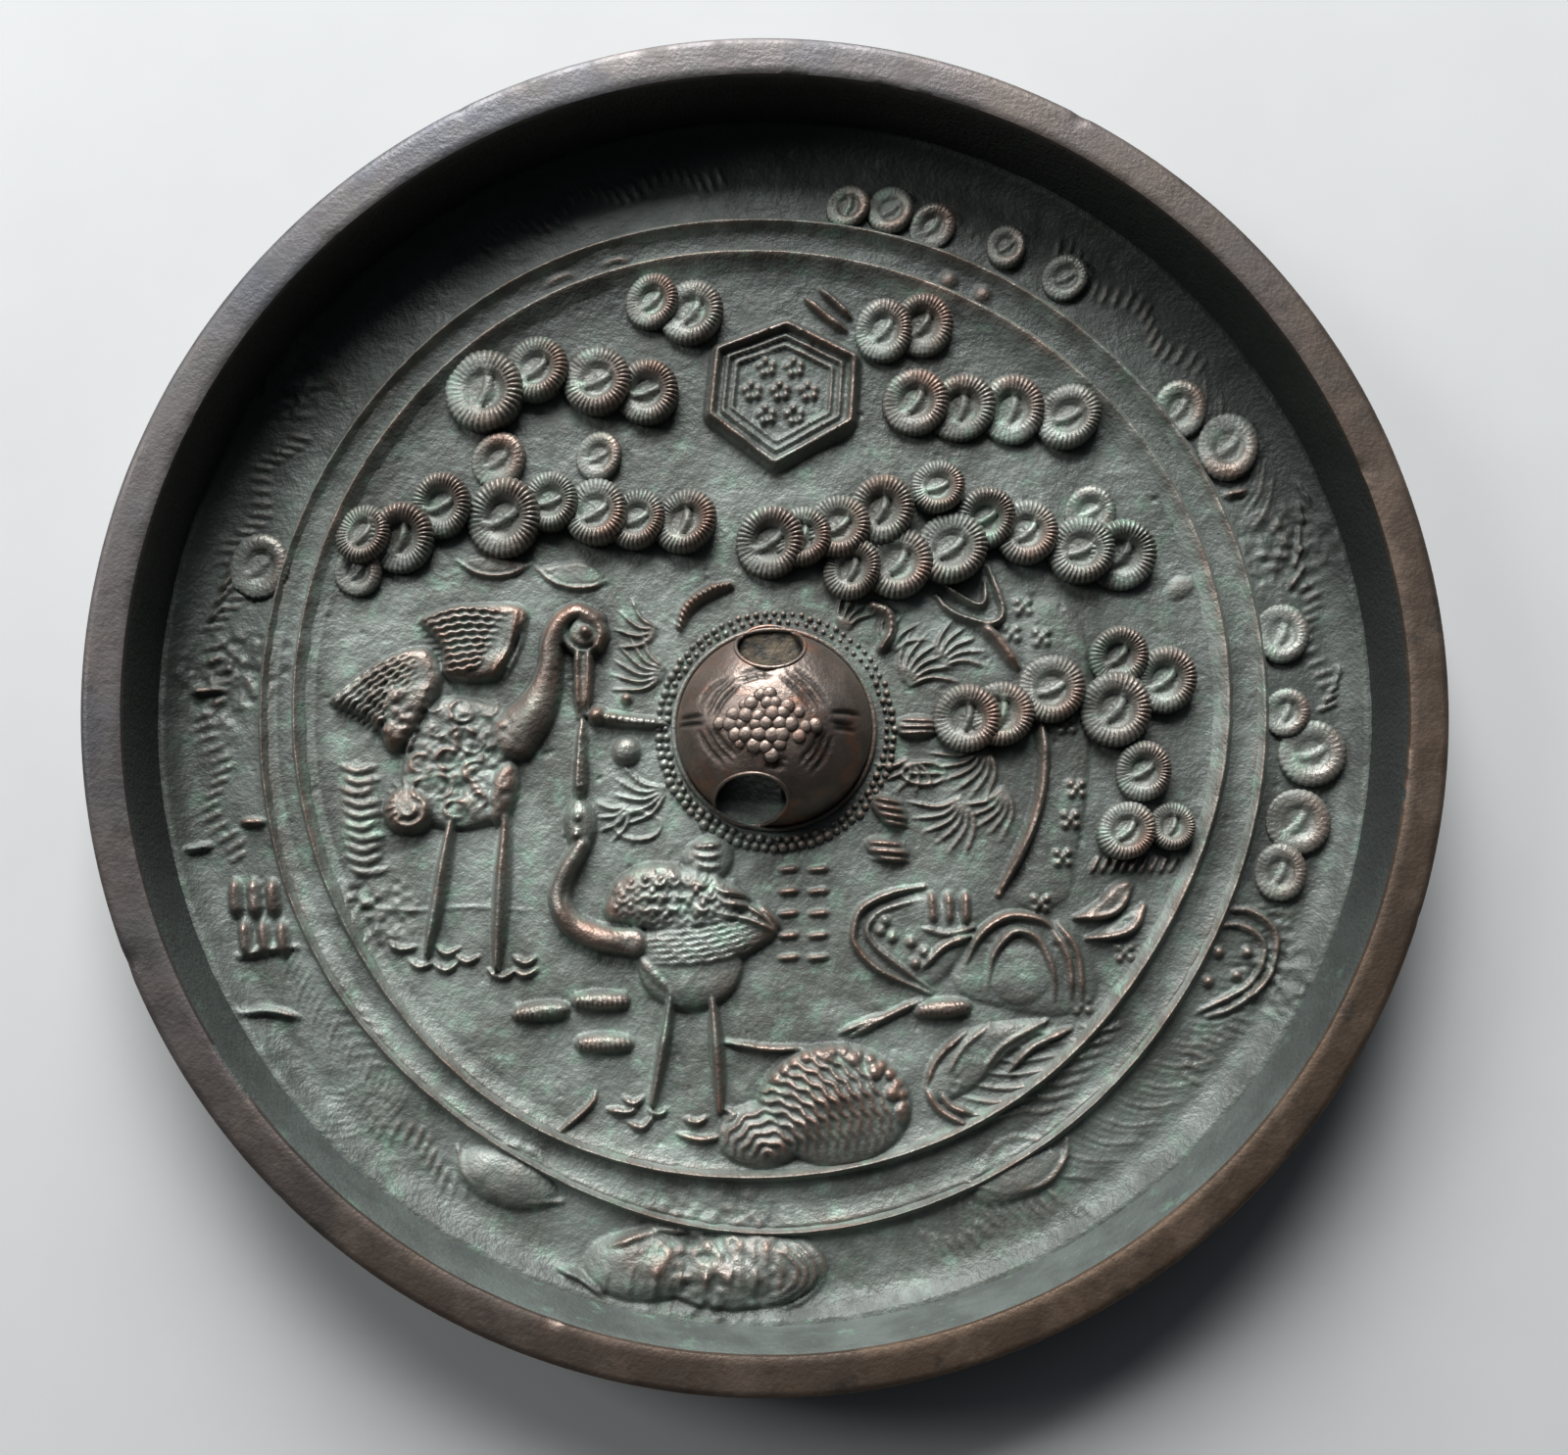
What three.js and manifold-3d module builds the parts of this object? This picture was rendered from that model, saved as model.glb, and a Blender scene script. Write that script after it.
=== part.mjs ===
// Ancient bronze mirror, decorated back up, lying on its flat reflecting face.
// Millimetres, +Z up, origin at the centre of the reflecting face, +Y to the top of the picture.
// The rim, plate, rings, knob and all figures are one casting, so everything joins to one solid.

import * as THREE from 'three';
import { mergeVertices } from 'three/addons/utils/BufferGeometryUtils.js';
import Module from 'manifold-3d';

const wasm = await Module();
wasm.setup();

// Plate and rim
const OUTER_RADIUS = 56;
const RIM_WIDTH = 3.4;
const RIM_HEIGHT = 9;
const PLATE_THICKNESS = 2.5;
const WALL_DRAFT = 0.6;
const EDGE_CHAMFER = 0.35;

// Knob, its cord channel and the ring of beads round it
const KNOB_RADIUS = 8.4;
const KNOB_HEIGHT = 7.2;
const CHANNEL_WIDTH = 6;
const CHANNEL_HEIGHT = 5.8;
const CHANNEL_CORNER = 2;
const CHANNEL_TURN = THREE.MathUtils.degToRad(3.5);
const BEAD_RING_GAP = 1.9;
const BEAD_RADIUS = 0.6;
const BEAD_HEIGHT = 0.45;
const BEADS_IN_RING = 30;

// The two raised rings round the picture
const INNER_RING_RADIUS = 40.1;
const OUTER_RING_RADIUS = 43.4;
const RING_RIDGE_WIDTH = 1.5;
const RING_RIDGE_HEIGHT = 1.7;

// Heights of the figures over the field
const PINE_HEIGHT = 2.2;
const CREST_HEIGHT = 1.5;
const CRANE_HEIGHT = 2.1;
const STONE_HEIGHT = 2.4;
const LINE_HEIGHT = 0.8;
const LINE_WIDTH = 0.9;
const BROAD_BAR = 1.2;
const STROKE_HEIGHT = 0.3;
const STROKE_WIDTH = 0.4;

// Every raised form runs this deep into the plate
const ROOT_DEPTH = 0.8;

// Sides of the faceted round forms
const ROUND_STEPS = 64;
const RING_STEPS = 48;
const KNOB_STEPS = 20;
const CLUMP_STEPS = 8;
const BEAD_STEPS = 4;

const FIELD_Z = PLATE_THICKNESS;
const RIM_Z = PLATE_THICKNESS + RIM_HEIGHT;
const RIM_INNER_RADIUS = OUTER_RADIUS - RIM_WIDTH;
const FIELD_RADIUS = RIM_INNER_RADIUS - WALL_DRAFT;

// The picture is drawn for a field of this radius and follows the real one
const LAYOUT_RADIUS = 52.5;
const LAYOUT_SCALE = FIELD_RADIUS / LAYOUT_RADIUS;
const KNOB_PLACE = [0.4, -2.1];
const CREST_PLACE = [0.9, 27.9];

// How far each ring strays from its radius, at every thirty degrees from +X
const INNER_RING_WOBBLE = [-0.3, 0.1, -0.2, 0, 0.8, 0.8, 0.6, 0.5, 0.8, -0.1, -0.5, -1.1];
const OUTER_RING_WOBBLE = [-0.4, -0.2, -0.3, -0.4, 0.2, 0.2, 0.1, 0.5, 0.3, 1.2, 0.6, -0.4];

// Pine clumps of each tree: [x, y, radius]
const PINES = {
  upperLeft: [[-25.2, 27.7, 3.3], [-20.7, 29.7, 2.7], [-15.3, 28.7, 2.8], [-10.9, 27.7, 2.6]],
  leftTop: [
    [-35.5, 14.8, 2.4], [-32.2, 14.5, 2.8], [-28.8, 17.4, 2.6], [-23.3, 16.3, 3.2],
    [-19.3, 17.8, 2.4], [-15.3, 16.9, 2.7], [-11.7, 16.3, 2.5], [-7.5, 16.1, 2.7],
  ],
  middle: [
    [0, 14.3, 2.9], [2.8, 14.8, 2.4], [6, 15.7, 2.6], [9.8, 17.2, 2.8], [14.8, 19.3, 2.2],
    [19, 16.5, 2.5], [22.6, 15.3, 2.6], [27.4, 13.7, 2.7], [31, 13.3, 2.8],
  ],
  middleFront: [[7.2, 11.9, 2.5], [11.2, 12.5, 2.9], [15.9, 13.8, 3]],
  upperRight: [[12.9, 27, 2.7], [17, 26.5, 2.8], [21.5, 26.4, 2.8], [26.5, 25.8, 2.8]],
  top: [[-10.5, 36, 2.3], [-7, 35, 2.7], [10.1, 33.5, 2.6], [13.6, 34, 2.5]],
  right: [
    [17.2, -1.2, 2.7], [20.2, -0.8, 2.6], [24.6, 1.4, 2.8], [30.2, -0.4, 3],
    [30.6, 4.3, 2.4], [34.6, 2.2, 2.7], [32.6, -5.8, 2.4], [31, -11, 2.4], [35, -10.6, 1.9],
  ],
};

// Low clumps in the border between the rings and the rim, and those that stand behind a tree
const LOW_PINES = [
  [-44.5, 12, 2.6], [40.8, 23.2, 2.8], [36.6, 26.6, 2.4], [45.2, 6.4, 2.4], [45.4, -0.6, 2],
  [47.6, -4.2, 2.7], [46.2, -10.2, 2.6], [44.5, -14.6, 2.3], [9.6, 43.6, 2.3], [14.6, 42.2, 2.6],
  [20.5, 40.2, 2.2], [26, 37.6, 2.2], [-23.9, 21.6, 2.3], [-15.1, 22, 2], [-36, 11.6, 2], [28.4, 17.2, 2.2],
];

function toSolid(geometry) {
  const bare = geometry.clone();
  bare.deleteAttribute('normal');
  bare.deleteAttribute('uv');
  const merged = mergeVertices(bare, 1e-4);
  const mesh = new wasm.Mesh({
    numProp: 3,
    vertProperties: new Float32Array(merged.attributes.position.array),
    triVerts: new Uint32Array(merged.index.array),
  });
  return new wasm.Manifold(mesh);
}

function joined(solids) {
  return solids.reduce((whole, next) => whole.add(next));
}

function at([x, y], z = FIELD_Z) {
  return new THREE.Vector3(x * LAYOUT_SCALE, y * LAYOUT_SCALE, z);
}

function turned(profile, steps = ROUND_STEPS) {
  const points = profile.map(([radius, height]) => new THREE.Vector2(radius, height));
  return new THREE.LatheGeometry(points, steps).rotateX(Math.PI / 2);
}

// A form turned about its own upright axis, squeezed to an oval and set on the field
function turnedOnField(profile, steps, place, squeeze = 1, turn = 0) {
  const spot = at(place);
  const geometry = turned(profile, steps).scale(1, squeeze, 1);
  geometry.rotateZ(turn).translate(spot.x, spot.y, spot.z);
  return toSolid(geometry);
}

function dome(place, length, width, height, turnDegrees = 0, steps = 9) {
  const profile = [
    [0, -ROOT_DEPTH], [length, -ROOT_DEPTH], [length, 0], [0.72 * length, 0.74 * height], [0, height],
  ];
  return turnedOnField(profile, steps, place, width / length, THREE.MathUtils.degToRad(turnDegrees));
}

function bead(place, radius = BEAD_RADIUS, height = BEAD_HEIGHT, z = FIELD_Z) {
  const spot = at(place);
  const geometry = new THREE.CylinderGeometry(radius * 0.5, radius, height + ROOT_DEPTH, BEAD_STEPS);
  geometry.rotateX(Math.PI / 2).translate(spot.x, spot.y, z + (height - ROOT_DEPTH) / 2);
  return toSolid(geometry);
}

// An outline on the field raised to a flat top, with a chamfered edge where it is broad
function raised(outline, height, chamfer) {
  const geometry = new THREE.ExtrudeGeometry(new THREE.Shape(outline), {
    depth: ROOT_DEPTH + height - 2 * chamfer,
    bevelEnabled: chamfer > 0,
    bevelThickness: chamfer,
    bevelSize: chamfer,
    bevelOffset: -chamfer,
    bevelSegments: 1,
  });
  geometry.translate(0, 0, FIELD_Z - ROOT_DEPTH + chamfer);
  return toSolid(geometry);
}

function plate(outline, height, chamfer = 0) {
  return raised(outline.map((point) => at(point)), height, chamfer);
}

// A bar that follows a curve on the field and may narrow towards its end
function bar(points, width = LINE_WIDTH, height = LINE_HEIGHT, endWidth = width) {
  const steps = points.length - 1;
  const path = new THREE.CatmullRomCurve3(points.map((point) => at(point)));
  const left = [];
  const right = [];
  for (let i = 0; i <= steps; i += 1) {
    const share = i / steps;
    const spot = path.getPoint(share);
    const along = path.getTangent(share);
    const half = (width + (endWidth - width) * share) / 2;
    left.push(new THREE.Vector2(spot.x - along.y * half, spot.y + along.x * half));
    right.unshift(new THREE.Vector2(spot.x + along.y * half, spot.y - along.x * half));
  }
  return raised(left.concat(right), height, width < BROAD_BAR ? 0 : 0.25 * endWidth);
}

// Places on an arc about a centre, in degrees from +X
function arcPlaces(centre, radius, fromDegrees, toDegrees, count) {
  const places = [];
  for (let i = 0; i < count; i += 1) {
    const share = count > 1 ? i / (count - 1) : 0;
    const angle = THREE.MathUtils.degToRad(fromDegrees + (toDegrees - fromDegrees) * share);
    places.push([centre[0] + radius * Math.cos(angle), centre[1] + radius * Math.sin(angle)]);
  }
  return places;
}

function between(from, to, share) {
  return [from[0] + (to[0] - from[0]) * share, from[1] + (to[1] - from[1]) * share];
}

function body() {
  return toSolid(turned([
    [0, 0],
    [OUTER_RADIUS, 0],
    [OUTER_RADIUS, RIM_Z - EDGE_CHAMFER],
    [OUTER_RADIUS - EDGE_CHAMFER, RIM_Z],
    [RIM_INNER_RADIUS + EDGE_CHAMFER, RIM_Z],
    [RIM_INNER_RADIUS, RIM_Z - EDGE_CHAMFER],
    [FIELD_RADIUS, FIELD_Z],
    [0, FIELD_Z],
  ]));
}

// A ridge turned round the field, then pushed in and out as a hand-made line strays
function ring(radius, wobble) {
  const half = RING_RIDGE_WIDTH / 2;
  const geometry = turned([
    [radius - half, FIELD_Z - ROOT_DEPTH],
    [radius + half, FIELD_Z - ROOT_DEPTH],
    [radius + half, FIELD_Z],
    [radius, FIELD_Z + RING_RIDGE_HEIGHT],
    [radius - half, FIELD_Z],
    [radius - half, FIELD_Z - ROOT_DEPTH],
  ], RING_STEPS);
  const stray = new THREE.CatmullRomCurve3(wobble.map((value) => new THREE.Vector3(value, 0, 0)), true);
  const position = geometry.attributes.position;
  for (let i = 0; i < position.count; i += 1) {
    const angle = Math.atan2(position.getY(i), position.getX(i));
    const share = (angle / (2 * Math.PI) + 1) % 1;
    const reach = Math.hypot(position.getX(i), position.getY(i));
    const factor = (reach + stray.getPoint(share).x) / reach;
    position.setXY(i, position.getX(i) * factor, position.getY(i) * factor);
  }
  return toSolid(geometry);
}

function knobDome() {
  const profile = [[0, FIELD_Z - ROOT_DEPTH], [KNOB_RADIUS, FIELD_Z - ROOT_DEPTH]];
  const steps = 5;
  for (let i = 1; i < steps; i += 1) {
    const angle = (i / steps) * Math.PI / 2;
    profile.push([KNOB_RADIUS * Math.cos(angle), FIELD_Z + KNOB_HEIGHT * Math.sin(angle)]);
  }
  profile.push([0, FIELD_Z + KNOB_HEIGHT]);
  return toSolid(turned(profile, KNOB_STEPS));
}

// Three shell ridges run out from the top between the mouths of the channel
function shellRidges() {
  const ridges = [];
  for (const degrees of [0, 40, 140, 180, 220, 320]) {
    const turn = THREE.MathUtils.degToRad(degrees);
    const points = [25, 45, 65].map((lift) => {
      const angle = THREE.MathUtils.degToRad(lift);
      const reach = KNOB_RADIUS * Math.cos(angle);
      const height = FIELD_Z + KNOB_HEIGHT * Math.sin(angle);
      return new THREE.Vector3(reach * Math.cos(turn), reach * Math.sin(turn), height);
    });
    const section = new THREE.Shape().absarc(0, 0, 0.35, 0, 2 * Math.PI);
    ridges.push(toSolid(new THREE.ExtrudeGeometry(section, {
      extrudePath: new THREE.CatmullRomCurve3(points), steps: 2, curveSegments: 2, bevelEnabled: false,
    })));
  }
  return ridges;
}

function channel() {
  const tunnel = new THREE.Shape();
  const half = CHANNEL_WIDTH / 2;
  const shoulder = CHANNEL_HEIGHT - CHANNEL_CORNER;
  tunnel.moveTo(-half, 0);
  tunnel.lineTo(half, 0);
  tunnel.lineTo(half, shoulder);
  tunnel.absarc(half - CHANNEL_CORNER, shoulder, CHANNEL_CORNER, 0, Math.PI / 2);
  tunnel.absarc(CHANNEL_CORNER - half, shoulder, CHANNEL_CORNER, Math.PI / 2, Math.PI);
  tunnel.lineTo(-half, 0);
  const length = 2 * KNOB_RADIUS + 2;
  const geometry = new THREE.ExtrudeGeometry(tunnel, { depth: length, bevelEnabled: false, curveSegments: 3 });
  geometry.translate(0, 0, -length / 2).rotateX(Math.PI / 2).rotateZ(CHANNEL_TURN);
  geometry.translate(0, 0, FIELD_Z);
  return toSolid(geometry);
}

function tortoiseKnob() {
  const spot = at(KNOB_PLACE, 0);
  const topBeads = arcPlaces([0, 0], 1.9, 0, 288, 5).concat([[0, 0]]);
  const crown = topBeads.map((place) => bead(place, 0.7, 0.35, FIELD_Z + KNOB_HEIGHT - 0.35));
  const dressed = joined([knobDome(), ...shellRidges(), ...crown]);
  return dressed.subtract(channel()).translate([spot.x, spot.y, 0]);
}

function tortoiseLimbs() {
  const [x, y] = KNOB_PLACE;
  return [
    bar([[x - 8.6, y + 0.5], [x - 15.4, y + 1]], 2.2, 1.3, 1.3),
    bead([x - 12.9, y - 2], 1.2, 0.9),
    dome([x - 6, y - 11.6], 2.6, 1.7, 1.1, 35, 8),
    dome([x + 12.4, y + 0.2], 2, 1.1, 1, 0, 8),
    bar([[x - 8.4, y + 9], [x - 6.2, y + 11.6], [x - 4, y + 12.4]], 1.2, 1),
    bar([[x + 8.2, y + 10.6], [x + 9.9, y + 9.4], [x + 9.6, y + 7.4]], 1.2, 1),
    dome([x + 10, y - 7.4], 2, 1.2, 1, -40, 8),
    dome([x + 9.6, y - 11.2], 2, 1.2, 0.9, -25, 8),
  ];
}

function beadRing() {
  const radius = (KNOB_RADIUS + BEAD_RING_GAP) / LAYOUT_SCALE;
  return arcPlaces(KNOB_PLACE, radius, 0, 360 - 360 / BEADS_IN_RING, BEADS_IN_RING).map((place) => bead(place));
}

function crest() {
  const [x, y] = CREST_PLACE;
  const corner = (radius) => arcPlaces([x, y], radius, -90, 210, 6);
  const outer = plate(corner(6.6), CREST_HEIGHT, 0.25);
  const hollow = plate(corner(4.9), CREST_HEIGHT + 1, 0.1).subtract(plate(corner(5.4), CREST_HEIGHT - 0.45, 0.1));
  const flower = arcPlaces([x, y], 2.5, 0, 300, 6).concat([[x, y]]);
  const dots = flower.map((place) => bead(place, 0.9, CREST_HEIGHT - 0.1));
  return [outer.subtract(hollow), ...dots];
}

// A cushion with a raised border, a furrow inside it and a boss in the middle
function pineClump([x, y, radius]) {
  const profile = [
    [0, -ROOT_DEPTH],
    [radius, -ROOT_DEPTH],
    [radius, 0],
    [0.8 * radius, PINE_HEIGHT],
    [0.4 * radius, 0.7 * PINE_HEIGHT],
    [0, 0.9 * PINE_HEIGHT],
  ];
  return turnedOnField(profile, CLUMP_STEPS, [x, y]);
}

function pines() {
  const clumps = Object.values(PINES).flat().map(pineClump);
  const low = LOW_PINES.map(([x, y, radius]) => dome([x, y], radius, radius, 0.7 * PINE_HEIGHT, 0, CLUMP_STEPS));
  return clumps.concat(low);
}

// Ridges that run side by side from one edge of a wing to the other
function feathers(upper, lower, count, bend, width = 0.6, height = CRANE_HEIGHT) {
  const ridges = [];
  for (let i = 0; i < count; i += 1) {
    const share = count > 1 ? i / (count - 1) : 0;
    const from = between(upper[0], lower[0], share);
    const to = between(upper[1], lower[1], share);
    const middle = between(from, to, 0.5);
    ridges.push(bar([from, [middle[0], middle[1] + bend], to], width, height));
  }
  return ridges;
}

function standingCrane() {
  const neck = [[-23.6, -0.6], [-21.8, 1], [-20, 3.6], [-19.2, 6.6], [-17.4, 7.8], [-15.7, 6.8]];
  const upperWing = [[-30.2, 7.9], [-25.6, 8.9], [-21.2, 8.3], [-22.4, 5], [-23.8, 2.2], [-28.2, 2.2], [-27.8, 5]];
  const lowerWing = [[-38.5, 0], [-34, 3], [-29.5, 4.3], [-28.6, 1.4], [-32.4, -4.3], [-34.4, -1.4]];
  const trunk = [[-20.4, -0.6], [-22, -4.6], [-22.8, -9.6], [-28.6, -10.8], [-32.2, -7.4], [-31, -2.4], [-28, 1.6], [-23.4, 1.4]];
  return [
    plate(trunk, CRANE_HEIGHT - 0.7),
    plate(upperWing, CRANE_HEIGHT - 0.5),
    plate(lowerWing, CRANE_HEIGHT - 0.7),
    ...feathers([[-29, 7.3], [-22.4, 7.6]], [[-27.6, 3], [-24.2, 3]], 5, 0.5),
    ...feathers([[-37.4, 0.3], [-30.2, 3.6]], [[-34.4, -2], [-30.4, -2.6]], 4, 0.5, 0.6, CRANE_HEIGHT - 0.2),
    bar(neck, 1.7, CRANE_HEIGHT),
    dome([-16, 6.2], 1.5, 1.4, CRANE_HEIGHT, 0, 8),
    bar([[-16.1, 5.2], [-16.3, -1.2]], 1.5, 1.5, 0.7),
    dome([-21.5, -2], 2.6, 2.4, CRANE_HEIGHT + 0.2, 0, 10),
    dome([-31, -9.2], 2.3, 2.1, CRANE_HEIGHT, 0, 9),
    bar([[-23.4, -5.3], [-23, -8], [-22.9, -11]], 1.3, 1.8),
    bar([[-27.7, -10.4], [-29.2, -21.8]], 1, 1.2, 0.8),
    bar([[-23.2, -10.8], [-23.4, -22.8]], 1, 1.2, 0.8),
    bar([[-25.4, -22.2], [-23.4, -23.4], [-21.2, -22.8]], 0.6, 0.7),
    bar([[-31.2, -21.8], [-29.2, -22.6], [-27.2, -22]], 0.6, 0.7),
  ];
}

function bendingCrane() {
  const neck = [[-15.9, -12], [-17.6, -15.4], [-18, -17.8], [-16, -19.4], [-13, -19.4], [-10.6, -18]];
  const back = [[-14.6, -18.6], [-13.4, -15.2], [-10.5, -14], [-5, -14.6], [-1.8, -17], [-3, -20.6], [-9, -22.2], [-13.6, -21.4]];
  const tail = [[-5, -15.6], [-1.6, -16.8], [0.8, -19.6], [-2.6, -21.4], [-6, -21]];
  return [
    plate(back, CRANE_HEIGHT - 0.6),
    plate(tail, CRANE_HEIGHT - 0.4),
    ...feathers([[-12.8, -15.8], [-4, -15.6]], [[-12.6, -20.6], [-1, -20]], 5, 0.6),
    bar(neck, 1.7, CRANE_HEIGHT),
    dome([-16.2, -10.4], 2, 1.2, CRANE_HEIGHT, 95, 8),
    bar([[-16.3, -8.6], [-16.2, -2.4]], 1.4, 1.5, 0.7),
    dome([-7, -22.6], 2.3, 1.8, CRANE_HEIGHT, 0, 9),
    bar([[-8.5, -23.8], [-9.8, -35]], 1.1, 1.3, 0.9),
    bar([[-4.9, -23.6], [-4.2, -35]], 1.1, 1.3, 0.9),
    bar([[-12.4, -35.6], [-10.4, -36.2], [-8.6, -35.4]], 0.6, 0.7),
    bar([[-13.8, -34.8], [-12.4, -35.2], [-11, -34.6]], 0.6, 0.7),
    bar([[-7.4, -35.6], [-5.8, -35.8], [-4.6, -35.4]], 0.6, 0.7),
  ];
}

function scaledStone() {
  const lobes = [
    dome([5.6, -34.4], 6.3, 5, STONE_HEIGHT, 0, 12),
    dome([-0.4, -37], 3.8, 2.6, STONE_HEIGHT - 0.5, 0, 10),
  ];
  const arcs = [3, 4.8].map((radius, i) => bar(arcPlaces([5.4, -36.8], radius, 25, 155, 4), 0.9, STONE_HEIGHT - 0.4 * i));
  return lobes.concat(arcs);
}

function stones() {
  const ridged = [[-19.8, -26.4], [-14.5, -25.4], [-14, -29.2], [14.9, -26.4]];
  return [
    ...scaledStone(),
    ...ridged.map((place) => dome(place, 2.6, 1, 1.3, 0, 8)),
    dome([-12, -47.6], 5.6, 2.6, STONE_HEIGHT - 0.6, -6, 10),
    dome([-2.4, -48], 6.8, 3, STONE_HEIGHT - 0.4, 4, 12),
    dome([-22.6, -40.2], 3.8, 2.4, 1.8, -15, 9),
    dome([22, -39], 4.2, 2.2, 1.2, 22, 9),
    dome([-35.4, -10.6], 4, 1.8, 1, 80, 9),
  ];
}

function shore() {
  const sandbar = [[13.5, -15.8], [10.5, -16.4], [8, -17.7], [7.2, -20], [9.5, -23], [13.8, -25]];
  const borderBar = [[40, -18], [42.4, -18.6], [43.8, -20.6], [42.6, -23.2], [37.6, -26.6]];
  return [
    bar(sandbar, 0.9, 0.9),
    bar(borderBar, 1, 1),
    bar([[13.8, -24.8], [11.2, -26.2], [6.4, -28.6]], 0.9, 0.9),
    bar([[-3.8, -29], [-1, -29.7], [3.4, -29.6]], 0.7, 0.8),
    bar(arcPlaces([21.8, -24.6], 3, 10, 170, 5), 0.9, 1),
    bar(arcPlaces([27, -22.4], 3.2, 60, 130, 3), 0.8, 0.9),
    bar([[26.6, -18.6], [29.2, -18.4], [31.4, -16]], 1.3, 1),
    bar([[28, -20.6], [30.4, -20], [32.4, -17.8]], 1.1, 0.9),
  ];
}

function branches() {
  const trunk = [[23.2, 9.6], [27, 8.4], [27.8, 0], [27.4, -9], [25.4, -16.4], [22, -16.8], [23.4, -9], [22.4, 0]];
  return [
    plate(trunk, 0.7),
    bar([[23.5, -0.1], [23.9, -5.3], [22.6, -10.8], [19.9, -16.5]], 1, 1.3),
    bar([[18.5, 7.3], [21.8, 3.4]], 1, 1.1),
    bar([[14.6, 9.8], [17, 7.8], [19.5, 7.2], [20.5, 8.5], [19.3, 12.3]], 0.7, 0.8),
    bar([[-27.5, 12.7], [-24, 11.4], [-21, 12.4]], 0.8, 1),
    bar([[-20.5, 12.1], [-17.6, 10.4], [-14.2, 11]], 0.8, 1),
    bar([[5.2, 34.4], [4.6, 36], [3.2, 37]], 0.8, 0.9),
  ];
}

function leaves() {
  const sprays = [
    { root: [19.4, -3], reach: 6.5, from: 195, to: 255, count: 5 },
    { root: [11.8, 1.8], reach: 5, from: 15, to: 75, count: 4 },
    { root: [-8.8, 3], reach: 5, from: 120, to: 190, count: 4 },
    { root: [-8.6, -8], reach: 5, from: 150, to: 200, count: 3 },
  ];
  return sprays.flatMap(({ root, reach, from, to, count }) => {
    const starts = arcPlaces(root, 0.25 * reach, from, to, count);
    const ends = arcPlaces(root, reach, from, to, count);
    return starts.map((start, i) => bar([start, ends[i]], 1, 0.6, 0.5));
  });
}

function bamboo() {
  const stalks = [-45.5, -43.6, -41.7].map((x) => bar([[x, -15.4], [x + 0.8, -21.6]], 1.3, 1, 1.3));
  const stubs = [14, 15.5, 17].map((x) => bar([[x, -16.4], [x, -18.9]], 0.9, 1, 0.9));
  return [...stalks, ...stubs, bar([[12.8, -19.3], [15.4, -19.8], [17.8, -19.3]], 0.7, 0.8)];
}

// Rows of plain strokes where the real mirror has its inscription
function strokes() {
  const marks = [];
  for (let row = 0; row < 5; row += 1) {
    for (let column = 0; column < 2; column += 1) {
      const x = 0.8 + 2.6 * column;
      const y = -14.4 - 1.9 * row;
      marks.push(bar([[x, y], [x + 1.7, y]], STROKE_WIDTH, STROKE_HEIGHT, STROKE_WIDTH));
    }
  }
  return marks;
}

const mirrorSolid = joined([
  body(),
  ring(INNER_RING_RADIUS, INNER_RING_WOBBLE),
  ring(OUTER_RING_RADIUS, OUTER_RING_WOBBLE),
  tortoiseKnob(),
  ...tortoiseLimbs(),
  ...beadRing(),
  ...crest(),
  ...pines(),
  ...standingCrane(),
  ...bendingCrane(),
  ...stones(),
  ...shore(),
  ...branches(),
  ...leaves(),
  ...bamboo(),
  ...strokes(),
]);

function toGeometry(solid) {
  const mesh = solid.getMesh();
  const geometry = new THREE.BufferGeometry();
  geometry.setAttribute('position', new THREE.BufferAttribute(new Float32Array(mesh.vertProperties), 3));
  geometry.setIndex(new THREE.BufferAttribute(new Uint32Array(mesh.triVerts), 1));
  return geometry;
}

const bronze = new THREE.MeshStandardMaterial({ color: 0x5b5346, roughness: 0.45, metalness: 0.8 });
const mirror = new THREE.Mesh(toGeometry(mirrorSolid), bronze);
mirror.name = 'mirror';

const part = new THREE.Group();
part.add(mirror);

export default part;
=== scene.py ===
# %% [markdown]
# # An ancient bronze mirror, decorated back up
#
# The real object is one casting: a thin round plate with a high rim, a tortoise in the middle whose
# shell is pierced for a cord, and a picture of pines, cranes, stones and shore in low relief. The
# other side, which lies down here, is the flat polished face. The founder pressed and cut the
# picture into the mould, so its lines are soft, uneven and a little different each time.
#
# The scene keeps the frame of the solids: metres, origin at the centre of the reflecting face, the
# picture's top along +Y. Forms are drawn in millimetres and brought to metres when a piece is done.

# %% Load the solids
import math
import bmesh
import bpy
import numpy as np
from mathutils import Matrix, Vector


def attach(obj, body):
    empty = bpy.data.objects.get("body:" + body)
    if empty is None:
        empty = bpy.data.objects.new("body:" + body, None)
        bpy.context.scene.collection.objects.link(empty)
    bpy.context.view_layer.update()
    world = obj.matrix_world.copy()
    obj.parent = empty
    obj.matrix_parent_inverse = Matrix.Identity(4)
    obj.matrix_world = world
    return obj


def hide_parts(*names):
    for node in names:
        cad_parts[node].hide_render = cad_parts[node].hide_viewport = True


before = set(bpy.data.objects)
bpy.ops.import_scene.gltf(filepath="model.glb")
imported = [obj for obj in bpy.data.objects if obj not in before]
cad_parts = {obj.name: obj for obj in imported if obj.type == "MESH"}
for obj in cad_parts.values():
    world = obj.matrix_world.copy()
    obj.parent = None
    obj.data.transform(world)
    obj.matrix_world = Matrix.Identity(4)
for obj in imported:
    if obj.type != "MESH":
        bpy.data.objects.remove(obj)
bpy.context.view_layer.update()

# %% [markdown]
# ## Sizes
#
# The same sizes as the solids have. The picture was measured for a field 52.5 mm in radius, and
# everything on it is brought to the real field by one factor. The two rings stray from true circles,
# by the amounts in the two lists, one for every 30 degrees from the right side on.

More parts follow.
